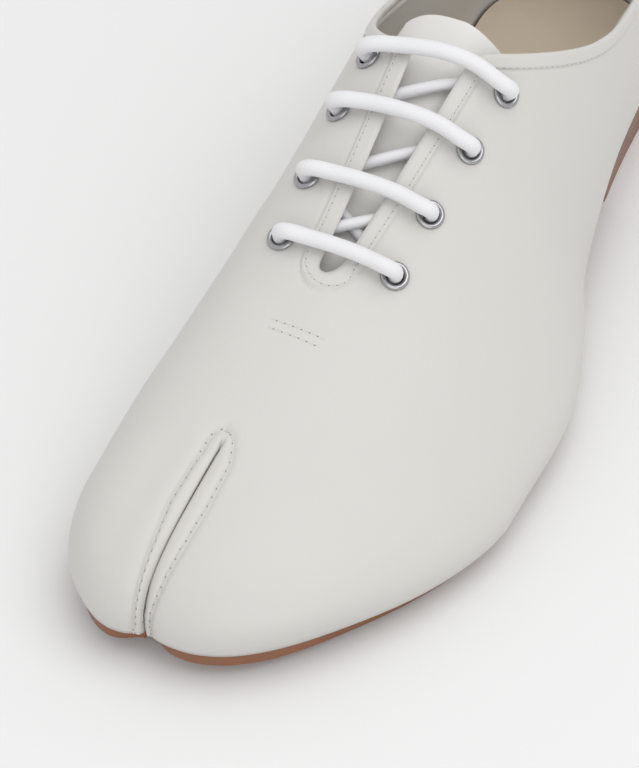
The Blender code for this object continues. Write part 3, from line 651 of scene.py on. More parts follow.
def join_pieces(pieces, weld):
    """Join grids into the first one, merge shared points and turn the faces outward."""
    bpy.ops.object.select_all(action="DESELECT")
    for piece in pieces:
        piece.select_set(True)
    bpy.context.view_layer.objects.active = pieces[0]
    if len(pieces) > 1:
        bpy.ops.object.join()
    bpy.ops.object.mode_set(mode="EDIT")
    bpy.ops.mesh.select_all(action="SELECT")
    bpy.ops.mesh.remove_doubles(threshold=weld)
    bpy.ops.mesh.dissolve_degenerate(threshold=weld * 0.3)
    bpy.ops.mesh.normals_make_consistent(inside=False)
    bpy.ops.object.mode_set(mode="OBJECT")
    return pieces[0]


def use_modifiers(piece):
    only(piece)
    for modifier in list(piece.modifiers):
        bpy.ops.object.modifier_apply(modifier=modifier.name)


def points_of(piece):
    """All points of a mesh in millimetres, in the tables' frame."""
    flat = np.zeros(len(piece.data.vertices) * 3)
    piece.data.vertices.foreach_get("co", flat)
    return flat.reshape(-1, 3) / MM + np.array([MIDDLE_X, LENGTH / 2, 0.0])


def normals_of(piece):
    flat = np.zeros(len(piece.data.vertices) * 3)
    piece.data.vertex_normals.foreach_get("vector", flat)
    return flat.reshape(-1, 3)


def mesh_piece(name, points, faces, smooth=True):
    """A mesh object from arrays of points in metres and of faces."""
    mesh = bpy.data.meshes.new(name)
    mesh.from_pydata([tuple(p) for p in points], [], [tuple(f) for f in faces])
    mesh.update()
    piece = bpy.data.objects.new(name, mesh)
    scene.collection.objects.link(piece)
    mesh.polygons.foreach_set("use_smooth", [smooth] * len(mesh.polygons))
    return piece


def settle(piece, node_names, materials):
    """Hand a finished piece to the frame: materials, body, solids that it stands for."""
    piece.data.materials.clear()
    for look in materials:
        piece.data.materials.append(look)
    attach(piece, "root")
    if node_names:
        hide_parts(*node_names)
    print(piece.name, "has", sum(len(p.vertices) - 2 for p in piece.data.polygons), "triangles")


# %% [markdown]
# ## Leather grain
# The grain is the same on every leather piece, so it is one node group: small cells broken up by noise for
# the bump, and a slow noise for tone.  A picture of leather would also work, but a procedural grain keeps
# its scale on every piece and needs no file.
# %% Leather grain
def new_group(name, inputs, outputs):
    """An empty shader group with float sockets, and its two end nodes."""
    group = bpy.data.node_groups.new(name, "ShaderNodeTree")
    for label, value in inputs:
        socket = group.interface.new_socket(label, in_out="INPUT", socket_type="NodeSocketFloat")
        socket.default_value = value
    for label in outputs:
        group.interface.new_socket(label, in_out="OUTPUT", socket_type="NodeSocketFloat")
    start = group.nodes.new("NodeGroupInput")
    end = group.nodes.new("NodeGroupOutput")
    return group, start, end


def math_node(tree, operation, first, second=None):
    """A math node whose inputs are sockets or numbers."""
    node = tree.nodes.new("ShaderNodeMath")
    node.operation = operation
    for socket, value in zip(node.inputs, (first, second)):
        if isinstance(value, (int, float)):
            socket.default_value = value
        elif value is not None:
            tree.links.new(value, socket)
    return node.outputs[0]


def noise_node(tree, place, scale, detail, roughness=0.5):
    node = tree.nodes.new("ShaderNodeTexNoise")
    node.inputs["Scale"].default_value = scale
    node.inputs["Detail"].default_value = detail
    node.inputs["Roughness"].default_value = roughness
    tree.links.new(place, node.inputs["Vector"])
    return node.outputs["Fac"]


grain, grain_in, grain_out = new_group("leather_grain", [("Cell", 1500.0)], ["Height", "Tone"])
place = grain.nodes.new("ShaderNodeTexCoord").outputs["Object"]
cells = grain.nodes.new("ShaderNodeTexVoronoi")
grain.links.new(place, cells.inputs["Vector"])
grain.links.new(grain_in.outputs["Cell"], cells.inputs["Scale"])
fine = noise_node(grain, place, 2600.0, 3.0)
broad = noise_node(grain, place, 260.0, 3.0)
height = math_node(grain, "MULTIPLY", cells.outputs["Distance"], 0.6)
height = math_node(grain, "ADD", height, math_node(grain, "MULTIPLY", fine, 0.5))
height = math_node(grain, "ADD", height, math_node(grain, "MULTIPLY", broad, 1.1))
grain.links.new(height, grain_out.inputs["Height"])
grain.links.new(noise_node(grain, place, 22.0, 4.0, 0.6), grain_out.inputs["Tone"])


# %% [markdown]
# ## Materials
# Each material is a Principled shader.  The group's tone mixes two close colours and moves the roughness a
# little, and its height feeds a weak bump.  White leather looks like plastic when it is one flat colour, so
# even these small changes matter.
# %% Leather materials
def shader_material(name):
    look = bpy.data.materials.new(name)
    look.use_nodes = True
    return look, look.node_tree, look.node_tree.nodes["Principled BSDF"]


def colour_mix(tree, share, first, second, target):
    """Mix two colours by a share between 0 and 1 into a shader socket."""
    mix = tree.nodes.new("ShaderNodeMix")
    mix.data_type = "RGBA"
    mix.inputs["A"].default_value = (*first, 1.0)
    mix.inputs["B"].default_value = (*second, 1.0)
    tree.links.new(share, mix.inputs["Factor"])
    tree.links.new(mix.outputs["Result"], target)


def range_node(tree, value, low, high, target):
    node = tree.nodes.new("ShaderNodeMapRange")
    node.inputs["To Min"].default_value = low
    node.inputs["To Max"].default_value = high
    tree.links.new(value, node.inputs["Value"])
    tree.links.new(node.outputs["Result"], target)


def bump_node(tree, value, strength, distance, target):
    node = tree.nodes.new("ShaderNodeBump")
    node.inputs["Strength"].default_value = strength
    node.inputs["Distance"].default_value = distance
    tree.links.new(value, node.inputs["Height"])
    tree.links.new(node.outputs["Normal"], target)


def leather(name, light, dark, rough, coat, bump):
    look, tree, shader = shader_material(name)
    skin = tree.nodes.new("ShaderNodeGroup")
    skin.node_tree = grain
    colour_mix(tree, skin.outputs["Tone"], dark, light, shader.inputs["Base Color"])
    range_node(tree, skin.outputs["Tone"], rough - 0.05, rough + 0.06, shader.inputs["Roughness"])
    bump_node(tree, skin.outputs["Height"], bump, 0.00012, shader.inputs["Normal"])
    shader.inputs["Coat Weight"].default_value = coat
    shader.inputs["Coat Roughness"].default_value = 0.35
    return look


white_leather = leather("white_leather_look", (0.605, 0.594, 0.566), (0.578, 0.565, 0.535),
                        0.46, 0.10, 0.22)
tongue_leather = leather("tongue_leather_look", (0.72, 0.71, 0.685), (0.68, 0.665, 0.635), 0.52, 0.05, 0.25)
lining_leather = leather("lining_leather_look", (0.66, 0.57, 0.45), (0.58, 0.48, 0.37), 0.62, 0.0, 0.40)


# %% [markdown]
# ## Sole leather, metal and lace materials
# Sole leather is cut across its fibres, so its edge shows thin streaks along the ground.  The heel is a
# stack of lifts, drawn by a wave along the height.  The lace is a round braid: two sets of slanted waves on
# its own coordinates, along and around, cross like the strands do.
# %% Sole, heel, metal and lace materials
def sole_look(name, light, dark, lifts):
    look, tree, shader = shader_material(name)
    place = tree.nodes.new("ShaderNodeTexCoord").outputs["Object"]
    stretch = tree.nodes.new("ShaderNodeMapping")
    stretch.inputs["Scale"].default_value = (120.0, 120.0, 900.0)
    tree.links.new(place, stretch.inputs["Vector"])
    streak = noise_node(tree, stretch.outputs["Vector"], 1.0, 5.0, 0.62)
    patch = noise_node(tree, place, 60.0, 4.0, 0.6)
    share = math_node(tree, "MULTIPLY", math_node(tree, "ADD", streak, patch), 0.75)
    height = streak
    if lifts:
        wave = tree.nodes.new("ShaderNodeTexWave")
        wave.bands_direction = "Z"
        wave.inputs["Scale"].default_value = 88.0
        wave.inputs["Distortion"].default_value = 0.4
        tree.links.new(place, wave.inputs["Vector"])
        line = math_node(tree, "POWER", wave.outputs["Fac"], 0.35)
        share = math_node(tree, "MULTIPLY", share, line)
        height = line
    colour_mix(tree, share, dark, light, shader.inputs["Base Color"])
    range_node(tree, streak, 0.38, 0.58, shader.inputs["Roughness"])
    bump_node(tree, height, 0.35, 0.0003, shader.inputs["Normal"])
    shader.inputs["Coat Weight"].default_value = 0.15
    return look


sole_edge_look = sole_look("sole_leather_look", (0.27, 0.105, 0.047), (0.13, 0.046, 0.021), False)
heel_look = sole_look("heel_leather_look", (0.25, 0.095, 0.042), (0.11, 0.038, 0.018), True)

metal_look, metal_tree, metal_shader = shader_material("eyelet_metal_look")
metal_place = metal_tree.nodes.new("ShaderNodeTexCoord").outputs["Object"]
metal_marks = noise_node(metal_tree, metal_place, 700.0, 4.0, 0.6)
colour_mix(metal_tree, metal_marks, (0.30, 0.30, 0.31), (0.50, 0.50, 0.51),
           metal_shader.inputs["Base Color"])
range_node(metal_tree, metal_marks, 0.10, 0.26, metal_shader.inputs["Roughness"])
metal_shader.inputs["Metallic"].default_value = 1.0

braid, braid_in, braid_out = new_group("round_braid", [("Along", 900.0), ("Around", 10.0)], ["Height"])
braid_uv = braid.nodes.new("ShaderNodeUVMap").outputs["UV"]
braid_split = braid.nodes.new("ShaderNodeSeparateXYZ")
braid.links.new(braid_uv, braid_split.inputs[0])
run_phase = math_node(braid, "MULTIPLY", braid_split.outputs["X"], braid_in.outputs["Along"])
turn_phase = math_node(braid, "MULTIPLY", braid_split.outputs["Y"], braid_in.outputs["Around"])
strands = []
for operation in ("ADD", "SUBTRACT"):
    phase = math_node(braid, operation, run_phase, turn_phase)
    strands.append(math_node(braid, "SINE", math_node(braid, "MULTIPLY", phase, math.tau)))
braid.links.new(math_node(braid, "MAXIMUM", strands[0], strands[1]), braid_out.inputs["Height"])

lace_look, lace_tree, lace_shader = shader_material("white_lace_look")
weave = lace_tree.nodes.new("ShaderNodeGroup")
weave.node_tree = braid
weave_half = math_node(lace_tree, "MULTIPLY", weave.outputs["Height"], 0.5)
weave_share = math_node(lace_tree, "ADD", weave_half, 0.5)
colour_mix(lace_tree, weave_share, (0.735, 0.735, 0.755), (0.765, 0.765, 0.785),
           lace_shader.inputs["Base Color"])
bump_node(lace_tree, weave.outputs["Height"], 0.10, 0.0001, lace_shader.inputs["Normal"])
range_node(lace_tree, weave_share, 0.62, 0.72, lace_shader.inputs["Roughness"])
lace_shader.inputs["Sheen Weight"].default_value = 0.15

thread_look = leather("thread_look", (0.62, 0.61, 0.585), (0.58, 0.57, 0.54), 0.6, 0.0, 0.2)
# Needle holes are drawn as small dark beads: painted shade where each hole is.
hole_shade_look = leather("needle_hole_shade_look", (0.36, 0.345, 0.32), (0.26, 0.25, 0.23), 0.8, 0.0, 0.2)


# %% [markdown]
# ## The leather over the last
# Now the upper itself.  Three blocks of rows cover it: toe and vamp in one, then the two quarters with the
# heel.  A box could be sculpted into a shoe as well, but then nothing would keep it on the last.  Each
# block is a grid primitive moved onto its points, and the blocks are welded along their shared rows.
# %% The leather over the last
TOE_ROWS = 58
VAMP_ROWS = 50
QUARTER_ROWS = 130
HEEL_ROWS = 20

front_rows = []
for along in np.linspace(1.0, 0.0, TOE_ROWS + 1) ** 1.25:
    front_rows.append(np.concatenate([toe_row(float(along), -1), toe_row(float(along), 1)[::-1]]))
for share in np.linspace(0.0, 1.0, VAMP_ROWS + 1)[1:]:
    station = THROAT_BOTTOM - (THROAT_BOTTOM - TOE_STATION) * (1.0 - share) ** 1.25
    front_rows.append(np.concatenate([half_row(station, -1), half_row(station, 1)[::-1]]))
front = np.array(front_rows)

quarters = {}
for side in (-1, 1):
    line = edge_line(side)
    rounded = THROAT_ROUND * 1.6 / float(np.sum(np.linalg.norm(np.diff(line, axis=0), axis=1)))
    shares = np.concatenate([np.linspace(0.0, rounded, 9)[:-1],
                             np.linspace(rounded, 1.0, QUARTER_ROWS + 1)])
    rows = [quarter_row(float(share), side, line) for share in shares]
    rows += [heel_row(float(turn), side) for turn in np.linspace(0.0, 1.0, HEEL_ROWS + 1)[1:]]
    quarters[side] = np.array(rows)

blocks = [front, quarters[-1], quarters[1]]
upper = join_pieces([grid_piece("upper_leather", placed(block)) for block in blocks], 0.00003)
top_face = max(upper.data.polygons, key=lambda face: face.normal.z * face.normal.z * face.area)
if top_face.normal.z < 0.0:
    upper.data.flip_normals()
print("upper sheet has", len(upper.data.polygons), "faces")

# %% [markdown]
# ## Softened end of the cleft
# At the end of the cleft many lines meet in a few millimetres and crumple.  A maker would press the leather
# flat there with a bone.  Here the points near the end are selected and smoothed, as in edit mode by hand.

# %% Softened end of the cleft
SOFT_REACH = 4.6
SOFT_REPEATS = 45
cleft_end = surface_frame(CLEFT_END_X, TOE_STATION)[0]
near_end = np.linalg.norm(points_of(upper) - cleft_end, axis=1) < SOFT_REACH
bpy.ops.object.mode_set(mode="EDIT")
bpy.ops.mesh.select_mode(type="VERT")
bpy.ops.mesh.select_all(action="DESELECT")
bpy.ops.object.mode_set(mode="OBJECT")
upper.data.vertices.foreach_set("select", near_end)
bpy.ops.object.mode_set(mode="EDIT")
bpy.ops.mesh.vertices_smooth(factor=0.5, repeat=SOFT_REPEATS)
bpy.ops.object.mode_set(mode="OBJECT")
print("softened", int(near_end.sum()), "points at the end of the cleft")


# %% [markdown]
# ## Seams, bound edge and creases
# The photograph shows four things in the leather: a bound edge round the throat and the collar, a sewn
# seam round the lips of the cleft, dimples where the lace pulls at the eyelets, and a few soft hollows.
# All of them are small moves of the points along the surface, set by how far a point is from a line.
# A sculpt brush does the same by hand, but distances give the same result on every run.
# %% Lines that the seams follow
edge_points = np.concatenate([quarters[-1][::-1, -1], quarters[1][:, -1]])

toe_last = TOE_ROWS - 7
inner_seam = front[:toe_last, WALL_LINES]
outer_seam = front[:toe_last, -1 - WALL_LINES]
loop_top = surface_frame(CLEFT_END_X - 0.6, 50.6)[0]
loop_inner = surface_frame(CLEFT_END_X - 2.9, 48.4)[0]
loop_outer = surface_frame(CLEFT_END_X + 2.6, 48.8)[0]
seam_knots = np.concatenate([inner_seam, [loop_inner, loop_top, loop_outer], outer_seam[::-1]])


def even_line(knots, step):
    """Points at even steps along a smooth line through the knots."""
    knots = np.asarray(knots, float)
    length = np.concatenate([[0.0], np.cumsum(np.linalg.norm(np.diff(knots, axis=0), axis=1))])
    keep = np.concatenate([[True], np.diff(length) > 1e-6])
    curve = [spline(length[keep], knots[keep, k]) for k in range(3)]
    at = np.arange(0.0, length[-1], step)
    return np.stack([c(at) for c in curve], axis=1), at


cleft_seam, cleft_run = even_line(seam_knots, 0.25)
print("cleft seam is", round(float(cleft_run[-1]), 1), "mm long")


# %% [markdown]
# ## Distances to a line
# A tree of points finds the nearest place on a line for every point of the leather.  The bell turns that
# distance into a soft trough or ridge, with no hard border.

# %% Distances to a line
def nearest(points, line):
    """Distance from every point to a dense line, and the index of the nearest place on it."""
    tree = kdtree.KDTree(len(line))
    for k, place in enumerate(line):
        tree.insert(place, k)
    tree.balance()
    found = [tree.find(p) for p in points]
    return np.array([f[2] for f in found]), np.array([f[1] for f in found])


def bell(distance, width):
    return np.exp(-(distance / width) ** 2)


skin = points_of(upper)
out = normals_of(upper)
move = np.zeros(len(skin))

# %% [markdown]
# ## Bound edge
# The edge of throat and collar stands a little proud, with a rounded rim and a shallow groove beside it.  A
# separate strip would have to be fitted at every corner, but moved points follow the edge by themselves.

# %% Bound edge round throat and collar
BINDING_HEIGHT = 0.45
THROAT_BINDING = 5.1
COLLAR_BINDING = 4.2
edge_line_points, _ = even_line(edge_points, 0.3)
edge_far, edge_at = nearest(skin, edge_line_points)
collar_share = ease((edge_line_points[edge_at, 1] - 158.0) / 14.0)
binding = THROAT_BINDING + (COLLAR_BINDING - THROAT_BINDING) * collar_share
move += BINDING_HEIGHT * (1.0 - ease((edge_far - binding + 0.3) / 0.45))
move -= 0.6 * np.clip(1.0 - edge_far / 1.4, 0.0, 1.0) ** 2
move -= 0.20 * bell(edge_far - binding - 0.35, 0.4)

# %% [markdown]
# ## Seam round the cleft
# The seam pulls the leather into a fine groove, and each stitch puckers it, most on the lower outer side.
# The moves fade out at the sole and inside the slit, where they would only crumple the sheet.

# %% Seam round the cleft
PUCKER_PITCH = 2.8
cleft_far, cleft_at = nearest(skin, cleft_seam)
seam_run = cleft_run[cleft_at]
seam_share = seam_run / cleft_run[-1]
lower_outer = ease((seam_share - 0.72) / 0.12)
seam_fade = ease((out[:, 2] + np.abs(out[:, 1]) - 0.35) / 0.3)
seam_fade *= ease(seam_run / 4.0) * ease((cleft_run[-1] - seam_run) / 4.0)
move -= seam_fade * (0.45 * bell(cleft_far, 0.55) + 0.30 * bell(cleft_far, 1.8))
pucker = np.cos(seam_run / PUCKER_PITCH * math.tau)
move -= seam_fade * (0.06 + 0.16 * lower_outer) * pucker * bell(cleft_far, 1.1)

# %% [markdown]
# ## Dimples at the eyelets
# An eyelet is pressed into the facing, so the leather dips a little round it.  One bell per eyelet is enough.

# %% Dimples at the eyelets
Spot = namedtuple("Spot", "side row point out")
spots = []
for row in EYELETS:
    spots.append(Spot("inner", row.row, *surface_frame(row.x_inner, row.back_inner)))
    spots.append(Spot("outer", row.row, *surface_frame(row.x_outer, row.back_outer)))
for spot in spots:
    move -= 0.35 * bell(np.linalg.norm(skin - spot.point, axis=1), 5.0)

# %% [markdown]
# ## Creases
# Each crease is a line in plan with a width and a depth, placed where the photograph shows a soft
# hollow.  Noise would be less work, but it would put the hollows anywhere.

# %% Creases placed one by one
Crease = namedtuple("Crease", "x_from back_from x_to back_to width depth")
CREASES = [
    Crease(-33.0, 40.0, -36.0, 14.0, 5.0, 0.55),
    Crease(-12.0, 40.0, -17.0, 16.0, 5.0, 0.40),
    Crease(-20.3, 47.0, -20.8, 51.0, 0.6, 0.30),
    Crease(-34.0, 92.0, -22.0, 86.0, 6.0, 0.35),
    Crease(-2.0, 96.0, 12.0, 104.0, 7.0, 0.30),
    Crease(30.0, 84.0, 46.0, 104.0, 9.0, 0.45),
    Crease(-46.0, 78.0, -40.0, 104.0, 8.0, 0.40),
    Crease(-40.0, 128.0, -44.0, 160.0, 8.0, 0.40),
]
for crease in CREASES:
    start = np.array([crease.x_from, crease.back_from])
    way = np.array([crease.x_to, crease.back_to]) - start
    share = np.clip((skin[:, :2] - start) @ way / float(way @ way), 0.0, 1.0)
    far = np.linalg.norm(skin[:, :2] - start - share[:, None] * way, axis=1)
    above = ease((skin[:, 2] - 14.0) / 10.0)
    move -= crease.depth * bell(far, crease.width) * above

upper.data.vertices.foreach_set("co", placed(skin + out * move[:, None]).reshape(-1))
upper.data.update()
print("leather moved between", round(float(move.min()), 2), "and", round(float(move.max()), 2), "mm")

# %% [markdown]
# ## Wall and eyelet holes
# The Solidify modifier gives the sheet its 2 mm wall towards the foot, with the lining as a second
# material.  Cylinders through the facings cut the eyelet holes with a Boolean, so that light really falls
# into them.
# %% Wall and eyelet holes
def upright(point, out):
    """Matrix that stands a turned piece on the leather."""
    turn = Vector((0.0, 0.0, 1.0)).rotation_difference(Vector(out)).to_matrix().to_4x4()
    return Matrix.Translation(Vector(placed(point))) @ turn


upper.data.materials.append(white_leather)
upper.data.materials.append(lining_leather)
wall = upper.modifiers.new("wall", "SOLIDIFY")
wall.thickness = WALL * MM
wall.offset = -1.0
wall.material_offset = 1
use_modifiers(upper)

drills = []
for spot in spots:
    bpy.ops.object.select_all(action="DESELECT")
    bpy.ops.mesh.primitive_cylinder_add(vertices=32, radius=(EYELET_BARREL + 0.1) * MM, depth=9.0 * MM)
    bpy.context.object.matrix_world = upright(spot.point, spot.out)
    drills.append(bpy.context.object)
bpy.ops.object.select_all(action="DESELECT")
for drill in drills:
    drill.select_set(True)
bpy.context.view_layer.objects.active = drills[0]
bpy.ops.object.join()
drill = drills[0]
holes = upper.modifiers.new("eyelet_holes", "BOOLEAN")
holes.operation = "DIFFERENCE"
holes.object = drill
holes.solver = "MANIFOLD"
use_modifiers(upper)
bpy.data.objects.remove(drill)
only(upper)
bpy.ops.object.shade_smooth()
settle(upper, ["upper"], [white_leather, lining_leather])
upper_tree = BVHTree.FromPolygons([v.co for v in upper.data.vertices],
                                  [p.vertices for p in upper.data.polygons])

# %% [markdown]
# ## Stitches
# Each stitch is a short rounded bar of thread that lies on the leather, with a small dark bead at its end,
# painted shade where the needle hole is.  A particle system could scatter them, but here they have to follow
# a line, so one small bar is copied to every place with arrays and all the copies are one mesh.
# %% Stitch tools
def bead(length, width, tall, around=8, rings=5):
    """Points and faces of a small rounded bar along x."""
    points = []
    for k in range(rings + 1):
        turn = math.pi * k / rings
        for j in range(around):
            angle = math.tau * j / around
            points.append((-math.cos(turn) * length / 2, math.sin(turn) * math.cos(angle) * width / 2,
                           math.sin(turn) * math.sin(angle) * tall / 2))
    faces = []
    for k in range(rings):
        for j in range(around):
            step = (j + 1) % around
            faces.append((k * around + j, k * around + step, (k + 1) * around + step, (k + 1) * around + j))
    return np.array(points), np.array(faces)


def sewn(name, line, pitch, size, sink, look, start=0.0):
    """One mesh of beads along a line on the upper: size is length, width and height."""
    path, _ = even_line(line, 0.2)
    step = int(round(pitch / 0.2))
    shape, facets = bead(*size)
    points = []
    faces = []
    for k in range(int(start * step) + 2, len(path) - 2, step):
        spot, normal, _, _ = upper_tree.find_nearest(Vector(placed(path[k])))
        along = Vector(placed(path[k + 1]) - placed(path[k - 1]))
        along = (along - normal * along.dot(normal)).normalized()
        across = normal.cross(along)
        frame_axes = np.array([along, across, normal])
        faces.append(facets + len(points) * len(shape))
        points.append(np.array(spot - normal * (sink * MM)) + shape @ frame_axes * MM)
    piece = mesh_piece(name, np.concatenate(points), np.concatenate(faces))
    piece = join_pieces([piece], 0.000002)
    settle(piece, [], [look])
    return piece


# %% [markdown]
# ## Stitch lines
# One line of stitches follows the throat and the collar, and one follows the seam of the cleft.  The first
# runs at an even distance inside the edge and turns round the bottom of the throat in an arc.

# %% Stitches round throat, collar and cleft
def band_line(side, inside):
    """Line at a distance inside the edge of one quarter, from the throat to the back."""
    rows = quarters[side]
    column = WALL_LINES + BAND_LINES * (1.0 - inside / BAND_WIDTH)
    low = int(column)
    return rows[:, low] + (rows[:, low + 1] - rows[:, low]) * (column - low)


STITCH_INSIDE = 4.1
EDGE_PITCH = 2.2
round_back = float(plan_point(THROAT_BOTTOM + THROAT_ROUND, THROAT_BOTTOM_X))
round_centre = np.array([THROAT_BOTTOM_X, round_back])
round_radius = THROAT_HALF_GAP + STITCH_INSIDE
sides = {}
for side in (-1, 1):
    rows = band_line(side, STITCH_INSIDE)
    sides[side] = rows[rows[:, 1] > round_centre[1] + 1.0]
turn = np.linspace(math.pi, 0.0, 13)
bottom = [surface_frame(round_centre[0] + round_radius * math.cos(a),
                        round_centre[1] - round_radius * 0.95 * math.sin(a))[0] for a in turn]
throat_line = np.concatenate([sides[-1][::-1], bottom, sides[1]])
sewn("edge_stitches", throat_line, EDGE_PITCH, (1.5, 0.5, 0.45), 0.02, thread_look)
# The needle-hole beads here and on the cleft line are dark: painted shade in the holes.
sewn("edge_needle_hole_shade", throat_line, EDGE_PITCH, (0.5, 0.42, 0.25), 0.02,
     hole_shade_look, 0.5)
sewn("cleft_stitches", cleft_seam, PUCKER_PITCH, (1.9, 0.5, 0.5), 0.05, thread_look)
sewn("cleft_needle_hole_shade", cleft_seam, PUCKER_PITCH, (0.62, 0.5, 0.3), 0.02,
     hole_shade_look, 0.5)

# %% [markdown]
# ## Tack stitches
# Two short rows below the throat hold the tongue under the vamp.  They use the same bars and dark beads of
# painted hole shade.

# %% Tack stitches of the tongue on the vamp
TACK_PITCH = 2.4
Tack = namedtuple("Tack", "x_from back_from x_to back_to")
for number, tack in enumerate([Tack(-21.9, 82.7, -6.4, 83.5), Tack(-21.7, 80.3, -7.0, 81.0)]):
    row = []
    for t in np.linspace(0, 1, 8):
        row.append(surface_frame(tack.x_from + (tack.x_to - tack.x_from) * t,
                                 tack.back_from + (tack.back_to - tack.back_from) * t)[0])
    sewn(f"tack_stitches_{number}", row, TACK_PITCH, (1.5, 0.5, 0.4), 0.05, thread_look)
    # Dark needle-hole beads: painted shade in the holes.
    sewn(f"tack_needle_hole_shade_{number}", row, TACK_PITCH, (0.75, 0.42, 0.25), 0.02,
         hole_shade_look, 0.45)

# %% [markdown]
# ## Soles and heel
# A sole is a plan outline pulled up into a slab and then bent to the last.  The outline is filled as one
# face, extruded, cut across by planes so that it can bend, and moved onto the sole line.  A Bevel modifier
# softens its edges, which is what catches the light on a cut leather edge.
# %% Outlines in plan
def sole_edge(x, back):
    """How far the outsole's edge lies outside the upper's, less on the outer side and at the notch."""
    outer = float(ease((x - 5.0) / 35.0) * (1.0 - ease((back - 190.0) / 40.0)))
    notch = math.exp(-((x - CLEFT_FRONT_X) / 7.0) ** 2 - (back / 14.0) ** 2)
    return SOLE_EDGE + (SOLE_EDGE_OUTER - SOLE_EDGE) * outer + SOLE_EDGE_NOTCH * notch


def feather_outline(offset, slot_half, slot_back):
    """Plan outline inside the upper's lower edge, with the slot between the lobes."""
    stations = np.linspace(TOE_STATION, HEEL_STATION, 60)[1:]
    outer_side = [half_row(s, 1)[0] for s in stations]
    inner_side = [half_row(s, -1)[0] for s in stations]
    heel = [heel_row(t, 1)[0] for t in np.linspace(0.0, 1.0, 17)[1:]]
    heel += [heel_row(t, -1)[0] for t in np.linspace(1.0, 0.0, 17)[1:-1]]
    inner_toe = toe_row(1.0, -1)[:WALL_LINES + 1]
    outer_toe = toe_row(1.0, 1)[:WALL_LINES + 1]
    ring = np.array([*inner_toe, *outer_toe[::-1], *outer_side, *heel, *inner_side[::-1]])[:, :2]
    ahead = np.roll(ring, -1, axis=0) - np.roll(ring, 1, axis=0)
    ahead /= np.linalg.norm(ahead, axis=1)[:, None]
    grow = np.array([offset(x, back) for x, back in ring])[:, None]
    moved = ring + grow * np.stack([ahead[:, 1], -ahead[:, 0]], axis=1)
    count = WALL_LINES + 1
    inner = [p for p in moved[:count] if p[0] < CLEFT_FRONT_X - slot_half]
    outer = [p for p in moved[count:2 * count] if p[0] > CLEFT_FRONT_X + slot_half]
    slot = []
    for side in (-1, 1):
        first = inner[-1] if side < 0 else outer[0]
        backs = np.linspace(first[1] + slot_half * 0.6, slot_back - slot_half * 0.5, 9)
        share = (backs - 4.0) / (CLEFT_BACK - 4.0)
        middle = CLEFT_FRONT_X + (CLEFT_END_X - CLEFT_FRONT_X) * share
        slot.append(np.stack([middle + side * slot_half, backs], axis=1))
    end = np.array([[CLEFT_END_X, slot_back]])
    return np.concatenate([inner, slot[0], end, slot[1][::-1], outer, moved[2 * count:]])


# %% [markdown]
# ## Slabs bent to the last
# Outsole, insole and heel are all slabs, so one function makes them.  The cuts across let the slab bend, and
# a heel is a slab whose underside is a little smaller than its top.

# %% Slabs bent to the last
def slab(name, outline, low, high, cuts, soften, taper=1.0):
    """A slab with a plan outline whose underside and top follow two height curves."""
    keep = np.linalg.norm(outline - np.roll(outline, 1, axis=0), axis=1) > 0.25
    outline = outline[keep]
    piece = mesh_piece(name, [(x, back, 0.0) for x, back in outline], [range(len(outline))], False)
    only(piece)
    bpy.ops.object.mode_set(mode="EDIT")
    bpy.ops.mesh.select_all(action="SELECT")
    bpy.ops.mesh.extrude_region_move(TRANSFORM_OT_translate={"value": (0.0, 0.0, 1.0)})
    for back in cuts:
        bpy.ops.mesh.select_all(action="SELECT")
        bpy.ops.mesh.bisect(plane_co=(0.0, back, 0.0), plane_no=(0.0, 1.0, 0.0))
    bpy.ops.mesh.select_all(action="SELECT")
    bpy.ops.mesh.normals_make_consistent(inside=False)
    bpy.ops.object.mode_set(mode="OBJECT")
    middle = np.mean(outline, axis=0)
    for vert in piece.data.vertices:
        x, back, level = vert.co
        height = low(back) if level < 0.5 else high(back)
        if level < 0.5 and taper != 1.0:
            x = middle[0] + (x - middle[0]) * taper
            back = middle[1] + (back - middle[1]) * taper
        vert.co = placed((x, back, height))
    edge = piece.modifiers.new("soft_edge", "BEVEL")
    edge.width = soften * MM
    edge.segments = 3
    edge.limit_method = "ANGLE"
    edge.angle_limit = math.radians(50.0)
    use_modifiers(piece)
    return piece


bend_cuts = [*np.linspace(6.0, TREAD_FRONT, 14), *np.linspace(TREAD_BACK, HEEL_BREAST, 18)]
outsole = slab("outsole_leather", feather_outline(sole_edge, SOLE_SLOT, CLEFT_BACK + 1.5), sole_bottom,
               lambda back: sole_bottom(back) + SOLE_THICKNESS, bend_cuts, 0.5)
settle(outsole, ["outsole"], [sole_edge_look])
sock = feather_outline(lambda x, back: -INSOLE_INSET, INSOLE_SLOT, CLEFT_BACK + WALL + 2.0)
insole = slab("insole_leather", sock, feather,
              lambda back: feather(back) + INSOLE_THICKNESS, bend_cuts, 0.4)
settle(insole, ["insole"], [lining_leather])
seat = feather_outline(lambda x, back: -HEEL_INSET, SOLE_SLOT, CLEFT_BACK)
seat = np.array([p for p in seat if p[1] > HEEL_BREAST + 1.0])
breast = np.array([[seat[-1][0], HEEL_BREAST + 0.5], [seat[0][0], HEEL_BREAST + 0.5]])
heel = slab("heel_lifts", np.concatenate([seat, breast]), lambda back: 0.0,
            lambda back: sole_bottom(back) - SEAM_GAP, [], 0.5, HEEL_TAPER)
settle(heel, ["heel"], [heel_look])

